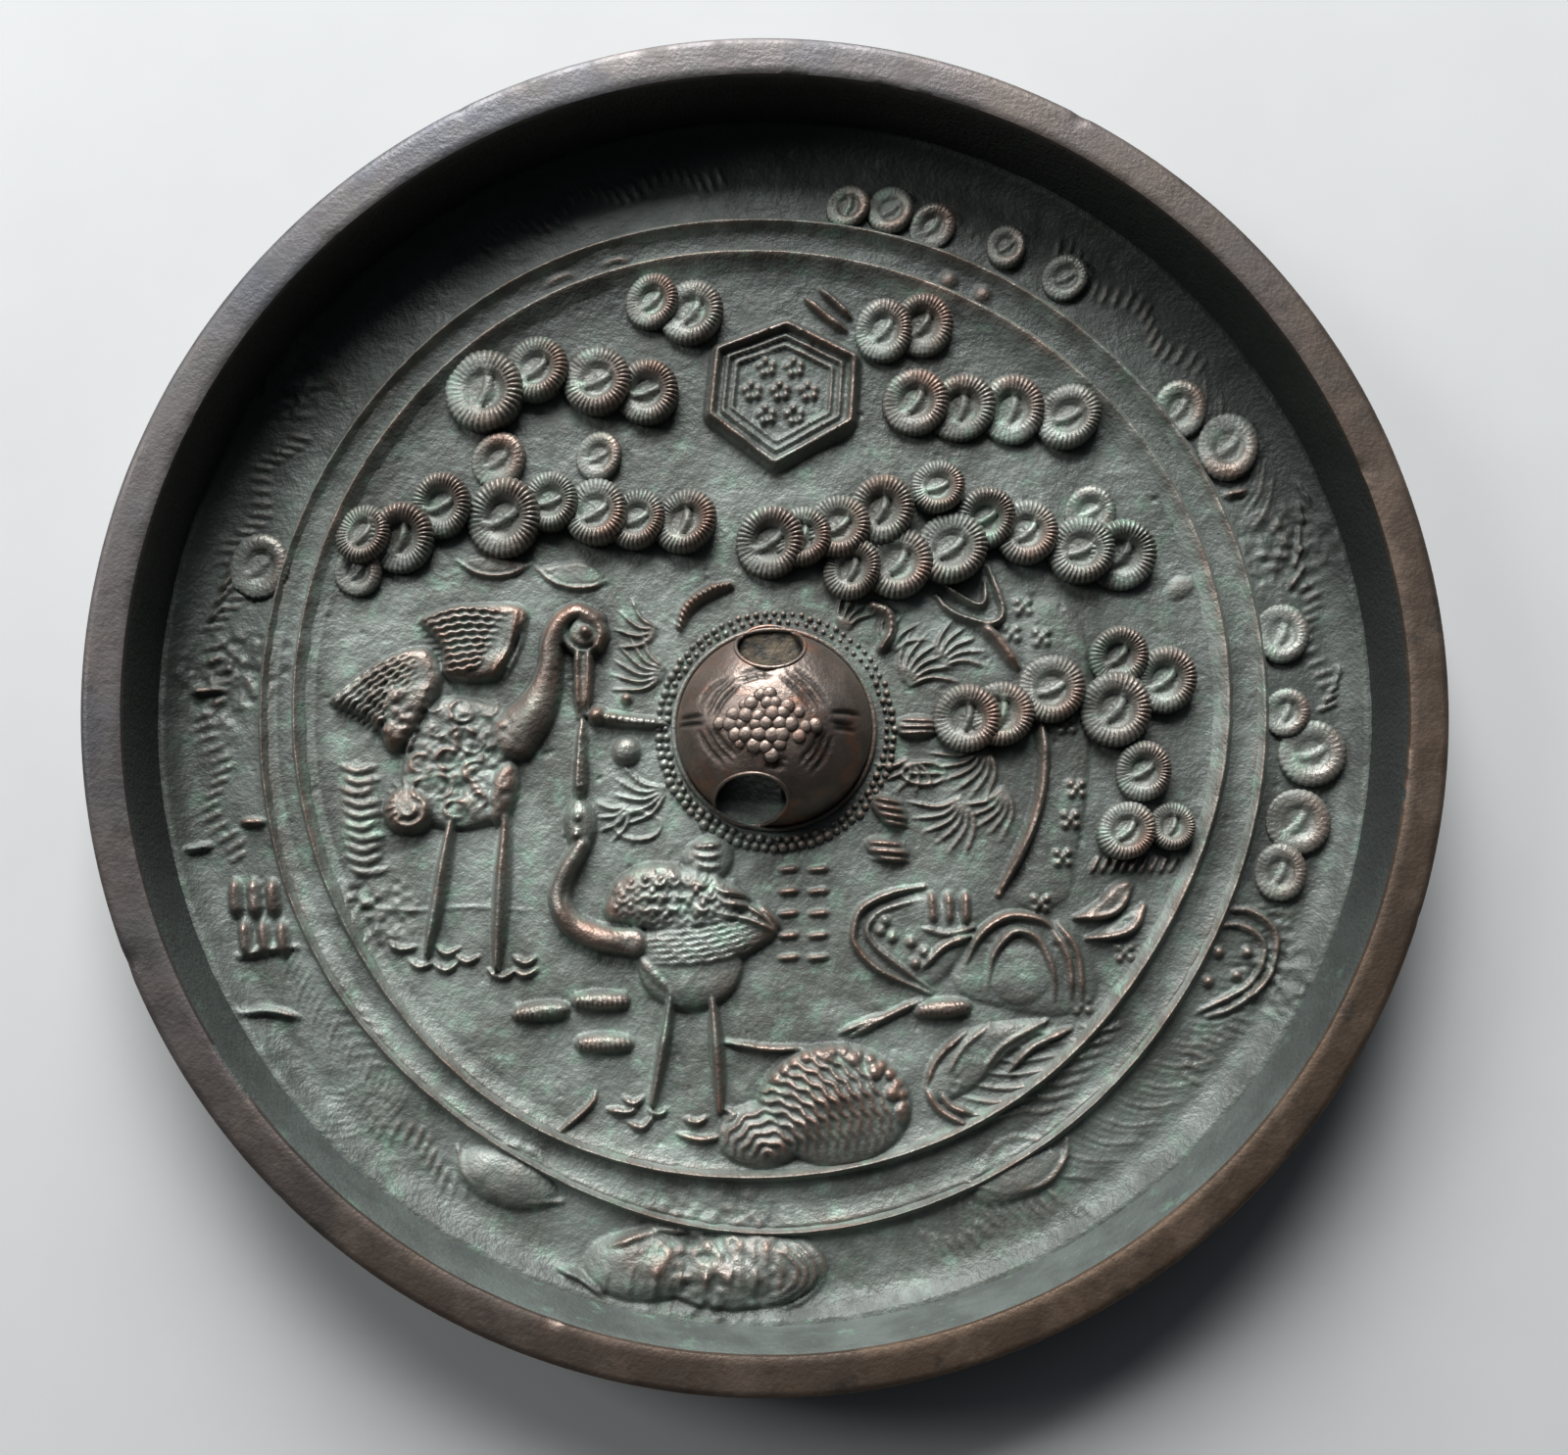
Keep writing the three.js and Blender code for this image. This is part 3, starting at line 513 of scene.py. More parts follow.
for k in range(9):
    x = -14 + 2.1 * k
    strokes(onto, [[(x, -50), (x + 0.4, -47.6)]], 0.4, 0.34)
strokes(onto, [[(-13.5, -46), (-10, -44.9), (-7, -45)]], 0.7, 0.6)
for k in range(4):
    strokes(onto, [arc((-1.6, -48.2), 4.0 + 0.75 * k, -72, 56, 11, 0.56)], 0.42, 0.42)
strokes(onto, [arc((-21.9, -41), 3.3, 20, 120, 7)], 0.5, 0.25)
strokes(onto, [arc((21.6, -40.6), 3.4, 10, 170, 7)], 0.4, 0.2)
for k in range(10):
    y = -5.6 - 0.98 * k
    left = -37.2 + 0.09 * k
    sway = 0.35 * math.sin(2.3 * k)
    strokes(onto, [[(left + 0.6 * sway, y + 0.25), (left + 1.5, y - 0.28), (left + 3.0 + sway,
        y + 0.15 - 0.3 * sway)]], 0.55, 0.3, 0.85)
board += onto

lines = sheet()
strokes(lines, [[(13.5, -15.8), (10.5, -16.4), (8, -17.7), (7.3, -19.5), (7.5, -21), (9.5, -23),
    (13.8, -25)], [(13.3, -25.5), (10, -27), (7, -28.6)], [(-3.9, -29.1), (0, -29.7), (3.4, -29.6)],
    [(40, -17.8), (42, -18), (43.8, -19.5), (44, -21.5), (43, -24), (40, -26.3), (38, -27)]], 0.6, 0.85)
strokes(lines, [[(14, -16.8), (10, -17.8), (8.5, -19.3), (9, -20.8), (11, -22.5), (13.8, -24.6)],
    [(9.5, -26.9), (6, -28.4)], [(39, -19.2), (41, -19.2), (42.7, -20.3), (42.9, -22), (41.5, -24.3),
    (37, -26.7)]], 0.5, 0.75)
strokes(lines, [[(13.4, -33), (14.5, -30.5), (17, -28.2)], [(15, -32.5), (16.5, -29.8), (19, -27.7)],
    [(18, -32.2), (20, -29.5), (24, -27.3)], [(13.4, -33), (14.5, -34.8), (17, -36.2)], [(14.6, -33.2),
    (15.5, -34.5), (17.3, -35.2)], [(20.6, -31.6), (22.6, -29.6), (26, -28)]], 0.6, 0.9)
strokes(lines, [[(18.8, -24.6), (19.4, -21.6), (21.2, -19.7), (23.2, -20.4), (24.4, -23), (24.6, -25.6)],
    [(17.0, -22.4), (18.2, -20.0), (20.6, -18.4), (23.2, -18.6), (24.8, -19.6)], [(13, -23), (15, -21),
    (17.5, -20)], [(25, -19), (26.6, -21.6), (27, -25.6)], [(24.4, -19.4), (25.8, -22), (26.1, -25.4)],
    [(31.5, -15.7), (30.4, -17.6), (29, -18.3), (26.5, -18.5)]], 0.75, 1.1)
strokes(lines, [[(32.5, -17.5), (31.6, -19.2), (30, -20), (27.5, -20.3)]], 1.0, 1.1, 0.6)
strokes(lines, [[(14, -16.4), (14.2, -19)], [(15.5, -16.4), (15.6, -19)], [(17, -16.4), (17, -19)]], 0.85,
    0.95)
strokes(lines, [[(12.8, -19.3), (15.4, -19.9), (17.8, -19.3)]], 0.7, 0.8)
for k in range(9):
    x = 28.4 + 0.85 * k
    strokes(lines, [[(x - 0.4, -14.6), (x + 0.3, -13.2)]], 0.35, 0.6)
dots(lines, [(39, -21.5), (41.5, -21.5), (40.5, -23.5), (38, -24)], 0.5, 0.6)
patch(lines, [(31.6, -15.2), (30.8, -17.4), (29.2, -18.5), (26.4, -18.7), (28.4, -17.2), (30, -15.6)], 0.8,
    0.25)
patch(lines, [(32.6, -17.3), (31.6, -19.3), (30, -20.2), (27.4, -20.5), (29.4, -19.2), (31, -18)], 0.65,
    0.25)
dab(lines, 21.6, -23.4, 3.0, 0.75, 0.9, 0.0, 0.3)
overlay(lines)

ripples = sheet()
for k in range(7):
    y = -28 - 1.15 * k
    strokes(ripples, [[(26 - 0.6 * k, y), (22.5 - 0.6 * k, y - 0.5), (19.5 - 0.6 * k, y - 0.1)],
        [(31 - 0.9 * k, y + 0.5), (28.6 - 0.9 * k, y - 0.2), (26.8 - 0.9 * k, y + 0.2)]], 0.32, 0.32)
for k in range(6):
    y = -26.6 - 0.95 * k
    strokes(ripples, [[(-38.4 + 0.5 * k, y), (-36 + 0.5 * k, y + 0.4), (-33.6 + 0.5 * k, y)]], 0.32, 0.14)
for k in range(12):
    x = 15 + 1.05 * k
    strokes(ripples, [[(x, -42 - 0.05 * k), (x + 0.9, -46.6 + 0.25 * k)]], 0.26, 0.25)
for k in range(7):
    strokes(ripples, [arc((-36.8, -30.3), 3.0 + 0.62 * k, -108, -22, 9)], 0.3, 0.2)
overlay(ripples)

# %% [markdown]
# ## The band between the rings and the rim
#
# Grass, bamboo stalks and ledges stand close under the wall, lower and rougher than the picture.

# %% The outer band
band = sheet()
for x in (-46, -44.4, -42.8):
    strokes(band, [[(x, -15.4), (x + 0.3, -18.2)]], 1.25, 1.0)
    strokes(band, [[(x + 0.9, -18.9), (x + 1.3, -21.6)]], 1.1, 1.0)
strokes(band, [[(-45.5, -21.8), (-43, -21.2), (-40.5, -21)], [(-50, -12.7), (-48, -12.3)], [(-45.5, -10.3),
    (-43.5, -10.3)], [(-45, -26.5), (-42.6, -26.4), (-40, -27)], [(-50, 1), (-47.5, 1.2)],
    [(40.5, 18.8), (42.5, 19.3)], [(-26.5, -38), (-25.5, -40.5), (-22, -42.3), (-17.5, -42.5)], [(17, -41),
    (20, -41.8), (23.5, -41), (25.3, -39), (25.5, -37.3)], [(-17.8, -47.9), (-16, -48.6), (-14, -50)]], 0.7,
    0.8, 0.5)
for k in range(5):
    strokes(band, [[(46 + 0.5 * k, 10.5 + 1.9 * k), (47.6 - 0.2 * k, 12.6 + 1.9 * k)],
        [(-49 + 0.5 * k, 7.2 + 1.4 * k), (-47.4 + 0.4 * k, 8.8 + 1.4 * k)], [(48.3 + 0.5 * k,
        -0.4 + 0.8 * k), (50.2, 0.4 + 0.8 * k)]], 0.42, 0.55, 0.22)
for first, last in [(150, 172), (174, 196), (38, 58), (95, 122), (2, 14), (318, 338), (224, 240),
        (286, 300)]:
    for start in np.arange(first, last, 1.15):
        angle = math.radians(start)
        far = 48.6 + 0.8 * math.sin(0.7 * start)
        tip = ((far + 0.9) * math.cos(angle + 0.012), (far + 0.9) * math.sin(angle + 0.012))
        foot = ((far - 1.1) * math.cos(angle), (far - 1.1) * math.sin(angle))
        stroke(band, [foot, tip], 0.42, 0.3, 0.2)
for first, last in [(300, 350), (198, 226), (20, 36)]:
    for start in np.arange(first, last, 0.95):
        angle = math.radians(start)
        stroke(band, [(45.4 * math.cos(angle), 45.4 * math.sin(angle)), (47.6 * math.cos(angle + 0.03),
            47.6 * math.sin(angle + 0.03)), (49.6 * math.cos(angle + 0.085),
            49.6 * math.sin(angle + 0.085))], 0.36, 0.13 + 0.07 * math.sin(11 * start))
for k in range(11):
    dab(band, -51 + 0.5 * k, 20 + 2.2 * k, 1.3, 0.8, 0.7)
overlay(band)
between = sheet()
strokes(between, [[(-20, 37.5), (-18, 38.5), (-17.3, 38.1)], [(-15, 39.3), (-13.5, 39.9), (-12.6, 39.6)]],
    0.4, 0.4)
dots(between, [(16, 38.3), (19, 37)], 0.8, 0.5)
overlay(between)

# %% [markdown]
# ## Rows of strokes
#
# Right of the cranes stand five rows of short raised strokes, two in a row. They are plain bars, laid
# on the board like everything else.

# %% Rows of strokes
marks = sheet()
for row in range(5):
    for column in range(2):
        x = 0.8 + 2.6 * column
        y = -14.4 - 1.9 * row
        stroke(marks, [(x, y), (x + 1.7, y + 0.15)], 0.5, 0.55)
overlay(marks)

# %% [markdown]
# ## The worn and corroded surface, and its painted shade
#
# Casting, burial and handling left the field slightly uneven. Broad waves, a fine tooth and a few
# pits are added to the board, and the field curves up a little where it meets the wall. Three maps
# are then made for the material. What stands higher than its surroundings was rubbed by hands. What
# lies lower, or beside a pine, the knob, a ring or the wall, is darkened, partly as dirt and partly
# as painted shade. The third map is painted shade only: it darkens the band under the wall, most
# under the upper wall, the top of the field, the right side and the floor of the knob's channel.

# %% Surface, wear and painted shade maps
gx, gy = np.meshgrid(AXIS, AXIS)
reach = np.hypot(gx, gy)
board = 0.5 * (board + blurred(board, 0.1))
board *= 1.0 + 0.25 * grain(2.2, 3)
rough = sheet()
for x, y, radius in [(-26.5, -5, 6.0), (-33, -1, 3.5), (-34, -18, 4), (-8, -16.6, 4), (-47, 2, 5),
        (-44, 30, 6), (44, -24, 4), (-4, -48, 8), (46, 14, 5)]:
    dab(rough, x, y, radius, 1.0, fullness=0.8)
board += rough * (0.55 * grain(0.55, 9) + 0.35 * grain(0.9, 10))
board += 0.16 * grain(5.0, 4) + 0.10 * grain(1.3, 5) + 0.05 * grain(0.45, 6)
pits = sheet()
chance = np.random.default_rng(8)
for _ in range(340):
    angle, far = chance.uniform(0, 2 * math.pi), 51 * math.sqrt(chance.uniform(0, 1))
    dab(pits, far * math.cos(angle), far * math.sin(angle), chance.uniform(0.12, 0.35),
        chance.uniform(0.05, 0.16))
dots(pits, [(-42, 4.9), (-42, 2.8)], 0.5, 0.2)
board -= pits
turning = np.arctan2(gy, gx) % (2 * math.pi) / (2 * math.pi) * 12
for radius, wobble in ((INNER_RING, INNER_WOBBLE), (OUTER_RING, OUTER_WOBBLE)):
    path = np.interp(turning, np.arange(13), wobble + wobble[:1])
    board += 0.55 * np.exp(-np.abs(reach - radius - path) / 1.0)
board += 1.3 * np.clip((reach - 49.3) / 2.9, 0, 1) ** 2.2
board = np.maximum(board, -0.22)

PINES = [(-25.2, 27.7, 3.3), (-20.7, 29.7, 2.7), (-15.3, 28.7, 2.8), (-10.9, 27.7, 2.6), (-35.5, 14.8, 2.4),
    (-32.2, 14.5, 2.8), (-28.8, 17.4, 2.6), (-23.3, 16.3, 3.2), (-19.3, 17.8, 2.4), (-15.3, 16.9, 2.7),
    (-11.7, 16.3, 2.5), (-7.5, 16.1, 2.7), (0, 14.3, 2.9), (2.8, 14.8, 2.4), (6, 15.7, 2.6),
    (9.8, 17.2, 2.8), (14.8, 19.3, 2.2), (19, 16.5, 2.5), (22.6, 15.3, 2.6), (27.4, 13.7, 2.7),
    (31, 13.3, 2.8), (7.2, 11.9, 2.5), (11.2, 12.5, 2.9), (15.9, 13.8, 3), (12.9, 27, 2.7), (17, 26.5, 2.8),
    (21.5, 26.4, 2.8), (26.5, 25.8, 2.8), (-10.5, 36, 2.3), (-7, 35, 2.7), (10.1, 33.5, 2.6),
    (13.6, 34, 2.5), (17.2, -1.2, 2.7), (20.2, -0.8, 2.6), (24.6, 1.4, 2.8), (30.2, -0.4, 3),
    (30.6, 4.3, 2.4), (34.6, 2.2, 2.7), (32.6, -5.8, 2.4), (31, -11, 2.4), (35, -10.6, 1.9)]
LOW_PINES = [(-44.5, 12, 2.6), (40.8, 23.2, 2.8), (36.6, 26.6, 2.4), (45.2, 6.4, 2.4), (45.4, -0.6, 2),
    (47.6, -4.2, 2.7), (46.2, -10.2, 2.6), (44.5, -14.6, 2.3), (7.0, 45.0, 1.9), (10.8, 44.7, 2.0),
    (14.6, 43.2, 2.0), (21.2, 41.4, 1.8), (26.5, 38.6, 2.0), (-23.9, 21.6, 2.3), (-15.1, 22, 2),
    (-36, 11.6, 2), (28.4, 17.2, 2.2)]
standing = board.copy()
crowd = sheet()
for x, y, r in PINES + LOW_PINES:
    dab(crowd, x, y, r, 1.8, fullness=0.2)
dab(crowd, KNOB_PLACE[0], KNOB_PLACE[1], 8.6, 4.0, fullness=0.3)
crowd = np.maximum(crowd,
    1.4 * (np.abs(reach - INNER_RING) < 0.6) + 1.4 * (np.abs(reach - OUTER_RING) < 0.6))
crowd = np.maximum(crowd, 5.0 * (reach > 52.2))
standing = np.maximum(standing, crowd)
raised = (board - blurred(blurred(board, 0.7), 0.7)) / 0.45
wear_map = np.clip(raised + 0.35 * np.clip(board - 0.8, 0, 1), 0, 1)
wear_map *= np.clip((50.2 - reach) / 1.2, 0, 1)
# Dirt in the hollows, with painted shade beside the pines, the knob, the rings and the wall.
dirt_and_shade_map = np.clip((blurred(blurred(standing, 0.9), 0.9) - standing) / 0.55, 0, 1)
# Painted shade: the band under the wall, darkest under the upper wall, the top of the field, the right side,
# and the channel floor under the shell's roof.
upward = gy / np.maximum(reach, 1.0)
in_band = np.clip((reach - 42.5) / 4.5, 0, 1)
painted_shade_map = np.maximum(in_band * np.clip(0.62 + 0.75 * upward, 0, 0.95), 0.22 * in_band)
painted_shade_map = np.maximum(painted_shade_map, 0.9 * np.clip((gy - 11 + 0.2 * np.abs(gx)) / 27, 0, 1))
painted_shade_map = np.maximum(painted_shade_map, 0.48 * np.clip((gx - 10) / 20, 0, 1))
roof_shadow_x = np.clip((4.4 - np.abs(gx - KNOB_PLACE[0] + 1.4)) / 0.5, 0, 1)
roof_shadow_y = np.clip((gy - KNOB_PLACE[1] + 6.7) / 0.5, 0, 1) * np.clip((4.4 - gy + KNOB_PLACE[1]) / 0.5, 0, 1)
painted_shade_map = np.maximum(painted_shade_map, roof_shadow_x * roof_shadow_y)
print("board heights", float(board.min()), float(board.max()))


def sampled(values, x, y):
    u = np.clip((x / LAYOUT + HALF) / CELL, 0, SIDE - 1.001)
    v = np.clip((y / LAYOUT + HALF) / CELL, 0, SIDE - 1.001)
    i, j = u.astype(int), v.astype(int)
    s, t = u - i, v - j
    below = values[j, i] * (1 - s) + values[j, i + 1] * s
    above = values[j + 1, i] * (1 - s) + values[j + 1, i + 1] * s
    return below * (1 - t) + above * t


# %% [markdown]
# ## Materials
#
# One bronze in five states: the buried field with its grey-green patina and with tops that hands keep
# brown and bare, the rim, which is brown with a painted grey reflection on one side, the wall, the
# knob and the polished face. The field, the wall and the knob also carry painted shade. All share the
# same clouds of patina and the same tooth, so those are groups of nodes built once. They read object
# coordinates, which run on from piece to piece because every piece has its origin at the mirror's.

# %% Shared effects
def plug(tree, socket, source):
    if isinstance(source, bpy.types.NodeSocket):
        tree.links.new(source, socket)
    elif socket.type == "RGBA":
        socket.default_value = (*source, 1.0)
    else:
        socket.default_value = source


def node(tree, kind, inputs=None, **settings):
    made = tree.nodes.new("ShaderNode" + kind)
    for label, value in settings.items():
        setattr(made, label, value)
    for label, source in (inputs or {}).items():
        plug(tree, made.inputs[label], source)
    return made


def new_group(name, inputs, output, kind):
    group = bpy.data.node_groups.new(name, "ShaderNodeTree")
    for label, value in inputs.items():
        socket = group.interface.new_socket(name=label, in_out="INPUT", socket_type="NodeSocketFloat")
        socket.default_value = value
    group.interface.new_socket(name=output, in_out="OUTPUT", socket_type=kind)
    return group, group.nodes.new("NodeGroupInput").outputs, group.nodes.new("NodeGroupOutput").inputs


def noise(tree, scale, detail, roughness):
    place = node(tree, "TexCoord").outputs["Object"]
    return node(tree, "TexNoise", {"Vector": place, "Scale": scale, "Detail": detail,
        "Roughness": roughness}).outputs["Fac"]


def cloud_group():
    group, given, result = new_group("clouds", {"Scale": 200.0, "Low": 0.4, "High": 0.6}, "Mask",
        "NodeSocketFloat")
    ramp = node(group, "MapRange", {"Value": noise(group, given["Scale"], 4.0, 0.64),
        "From Min": given["Low"], "From Max": given["High"]}, interpolation_type="SMOOTHSTEP")
    plug(group, result["Mask"], ramp.outputs["Result"])
    return group


def tooth_group():
    group, given, result = new_group("tooth", {"Strength": 0.3}, "Normal", "NodeSocketVector")
    both = plus(group, noise(group, 2600.0, 2.0, 0.6), noise(group, 700.0, 3.0, 0.65))
    bump = node(group, "Bump", {"Strength": given["Strength"], "Distance": 0.0003, "Height": both})
    plug(group, result["Normal"], bump.outputs["Normal"])
    return group


def times(tree, first, second):
    return node(tree, "Math", {0: first, 1: second}, operation="MULTIPLY").outputs["Value"]


def plus(tree, first, second):
    return node(tree, "Math", {0: first, 1: second}, operation="ADD").outputs["Value"]


CLOUDS = cloud_group()
TOOTH = tooth_group()


def clouds(tree, scale, low, high):
    return node(tree, "Group", {"Scale": scale, "Low": low, "High": high}, node_tree=CLOUDS).outputs["Mask"]


def mixed(tree, factor, first, second):
    return node(tree, "Mix", {0: factor, 6: first, 7: second}, data_type="RGBA").outputs[2]


def ranged(tree, value, low, high):
    return node(tree, "MapRange", {"Value": value, "To Min": low, "To Max": high}).outputs["Result"]


def attribute(tree, label):
    return node(tree, "Attribute", attribute_name=label).outputs["Fac"]


def shaded(name, colour, metallic, roughness, tooth):
    material = bpy.data.materials.new(name)
    material.use_nodes = True
    tree = material.node_tree
    tree.nodes.clear()
    looks = {"Base Color": colour, "Metallic": metallic, "Roughness": roughness}
    looks = {label: look(tree) if callable(look) else look for label, look in looks.items()}
    normal = node(tree, "Group", {"Strength": tooth}, node_tree=TOOTH).outputs["Normal"]
    shader = node(tree, "BsdfPrincipled", {**looks, "Normal": normal})
    node(tree, "OutputMaterial", {"Surface": shader.outputs["BSDF"]})
    return material


# %% The bronze and its states
DARK_BRONZE = (0.092, 0.096, 0.082)
GREY_GREEN = (0.170, 0.186, 0.164)
VERDIGRIS = (0.190, 0.300, 0.220)
# Black dirt and painted shade; the next colour is painted shade only.
BLACK_DIRT_AND_SHADE = (0.022, 0.022, 0.019)
PAINTED_SHADE_COLOUR = (0.034, 0.037, 0.032)
BARE_BROWN = (0.140, 0.105, 0.086)
COPPER_RED = (0.190, 0.118, 0.088)
SAND = (0.085, 0.064, 0.040)
# The rim's greys are a painted reflection; its browns are its own colour.
RIM_SHEEN_GREYS = (0.064, 0.065, 0.071), (0.084, 0.075, 0.071)
RIM_BROWNS = (0.120, 0.080, 0.054), (0.090, 0.064, 0.046)
RIM_SPOTS = (0.040, 0.037, 0.032)
WALL_GREENS = (0.085, 0.093, 0.084), (0.130, 0.146, 0.132)
# The wall's painted shade.
WALL_PAINTED_SHADE = (0.020, 0.022, 0.020)
KNOB_BROWNS = (0.185, 0.140, 0.115), (0.125, 0.108, 0.095)
KNOB_RED = (0.290, 0.140, 0.090)
FACE_BRONZES = (0.36, 0.33, 0.27), (0.20, 0.20, 0.165)
FACE_PATINA = (0.14, 0.19, 0.15)


def relief_colour(tree):
    patina = mixed(tree, clouds(tree, 120.0, 0.36, 0.62), GREY_GREEN, DARK_BRONZE)
    patina = mixed(tree, times(tree, clouds(tree, 420.0, 0.50, 0.72), 0.55), patina, VERDIGRIS)
    # Dirt and painted shade in hollows and beside raised forms, then the painted shade map over it.
    darkened = times(tree, attribute(tree, "dirt_and_shade"), clouds(tree, 60.0, 0.30, 0.62))
    darkened = mixed(tree, times(tree, darkened, 0.75), patina, BLACK_DIRT_AND_SHADE)
    darkened = mixed(tree, attribute(tree, "painted_shade"), darkened, PAINTED_SHADE_COLOUR)
    bare = mixed(tree, clouds(tree, 160.0, 0.45, 0.65), BARE_BROWN, COPPER_RED)
    worn = times(tree, attribute(tree, "wear_and_sheen"), clouds(tree, 90.0, 0.25, 0.60))
    worked = mixed(tree, worn, darkened, bare)
    sandy = mixed(tree, clouds(tree, 900.0, 0.35, 0.6), BLACK_DIRT_AND_SHADE, SAND)
    return mixed(tree, attribute(tree, "dirt"), worked, sandy)


def relief_metal(tree):
    return ranged(tree, attribute(tree, "wear_and_sheen"), 0.35, 0.65)


def relief_rough(tree):
    worn = ranged(tree, attribute(tree, "wear_and_sheen"), 0.52, 0.40)
    return plus(tree, worn, times(tree, clouds(tree, 300.0, 0.4, 0.7), 0.14))


def rim_colour(tree):
    # The grey is a painted reflection of the light, on the upper left side; the brown is the rim's own
    # colour.
    grey = mixed(tree, clouds(tree, 70.0, 0.35, 0.65), *RIM_SHEEN_GREYS)
    brown = mixed(tree, clouds(tree, 90.0, 0.35, 0.65), *RIM_BROWNS)
    base = mixed(tree, attribute(tree, "wear_and_sheen"), grey, brown)
    return mixed(tree, times(tree, clouds(tree, 500.0, 0.55, 0.75), 0.6), base, RIM_SPOTS)


def wall_colour(tree):
    base = mixed(tree, clouds(tree, 150.0, 0.35, 0.65), *WALL_GREENS)
    base = mixed(tree, times(tree, clouds(tree, 380.0, 0.58, 0.75), 0.7), base, VERDIGRIS)
    # Painted shade, darkest at the top of the wall.
    return mixed(tree, attribute(tree, "dirt_and_shade"), base, WALL_PAINTED_SHADE)


def knob_colour(tree):
    base = mixed(tree, clouds(tree, 130.0, 0.35, 0.65), *KNOB_BROWNS)
    base = mixed(tree, times(tree, clouds(tree, 260.0, 0.50, 0.68), 0.7), base, KNOB_RED)
    # Dirt and painted shade in the shell's lines.
    return mixed(tree, attribute(tree, "dirt_and_shade"), base, BLACK_DIRT_AND_SHADE)


def face_colour(tree):
    base = mixed(tree, clouds(tree, 45.0, 0.40, 0.66), *FACE_BRONZES)
    return mixed(tree, times(tree, clouds(tree, 210.0, 0.58, 0.74), 0.8), base, FACE_PATINA)


def clouded_rough(least, scale, low, more):
    return lambda tree: plus(tree, least, times(tree, clouds(tree, scale, low, 0.7), more))


relief_bronze = shaded("relief_bronze", relief_colour, relief_metal, relief_rough, 0.35)
rim_bronze = shaded("rim_bronze", rim_colour, 0.8, clouded_rough(0.44, 240.0, 0.4, 0.2), 0.14)
wall_bronze = shaded("wall_bronze", wall_colour, 0.35, 0.52, 0.4)
knob_bronze = shaded("knob_bronze", knob_colour, 0.85, clouded_rough(0.43, 320.0, 0.4, 0.18), 0.22)
face_bronze = shaded("face_bronze", face_colour, 0.95, clouded_rough(0.14, 160.0, 0.45, 0.3), 0.05)

# %% [markdown]
# ## Making pieces
#
# Round things are drawn as half an outline and turned on a lathe. Every piece is drawn in millimetres
# in one mesh, then scaled to metres, and given its material and its place in the frame. Two numbers
# on its points tell the material how worn each spot is and how much dirt and painted shade darken it;
# on the rim the first number is a painted reflection instead of wear.

# %% Helpers for pieces
def linked(name, data):
    made = bpy.data.objects.new(name, data)
    bpy.context.scene.collection.objects.link(made)
    return made


def evaluated(holder):
    bpy.context.view_layer.update()
    return bpy.data.meshes.new_from_object(holder.evaluated_get(bpy.context.evaluated_depsgraph_get()))


def mark_layers(bm):
    layers = bm.verts.layers.float
    return [layers.get(label) or layers.new(label) for label in ("wear_and_sheen", "dirt_and_shade")]


def add_part(bm, source):
    mesh = bpy.data.meshes.new("part")
    source.to_mesh(mesh)
    source.free()
    bm.from_mesh(mesh)
    bpy.data.meshes.remove(mesh)


def spun(profile, steps, closed=False):
    bm = bmesh.new()
    verts = [bm.verts.new((r, 0, z)) for r, z in profile]
    for pair in zip(verts, verts[1:]):
        bm.edges.new(pair)
    if closed:
        bm.edges.new((verts[-1], verts[0]))
    outline = bpy.data.meshes.new("outline")
    bm.to_mesh(outline)
    bm.free()
    holder = linked("outline", outline)
    lathe = holder.modifiers.new("lathe", "SCREW")
    lathe.axis = "Z"
    lathe.steps = steps
    lathe.render_steps = steps
    lathe.use_merge_vertices = True
    lathe.merge_threshold = 1e-4
    turned = evaluated(holder)
    bpy.data.objects.remove(holder)
    bm = bmesh.new()
    bm.from_mesh(turned)
    bpy.data.meshes.remove(turned)
    bpy.data.meshes.remove(outline)
    poles = [vert for vert in bm.verts if math.hypot(vert.co.x, vert.co.y) < 1e-4]
    bmesh.ops.remove_doubles(bm, verts=poles, dist=1e-3)
    bmesh.ops.recalc_face_normals(bm, faces=bm.faces)
    return bm


def piece(bm, name, materials, sharp=None):
    bmesh.ops.scale(bm, vec=(MM, MM, MM), verts=bm.verts)
    for face in bm.faces:
        face.smooth = True
    if sharp:
        for edge in bm.edges:
            if edge.calc_face_angle(0) > sharp:
                edge.smooth = False
    mesh = bpy.data.meshes.new(name)
    bm.to_mesh(mesh)
    bm.free()
    for material in materials:
        mesh.materials.append(material)
    made = linked(name, mesh)
    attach(made, "root")
    triangles = sum(len(face.vertices) - 2 for face in mesh.polygons)
    print(name, triangles, "triangles")
    return made


def points_of(mesh):
    flat = np.empty(3 * len(mesh.vertices), np.float32)
    mesh.vertices.foreach_get("co", flat)
    return flat.reshape(-1, 3) / MM


def keep_map(mesh, label, values):
    mesh.attributes.new(label, "FLOAT", "POINT").data.foreach_set("value", values.astype(np.float32))


# %% [markdown]
# ## Plate, wall and rim
#
# The rim's flat top was ground after casting and the edges have been knocked and rubbed since, so
# both edges are small chamfers that wander a little. The profile is turned once round.

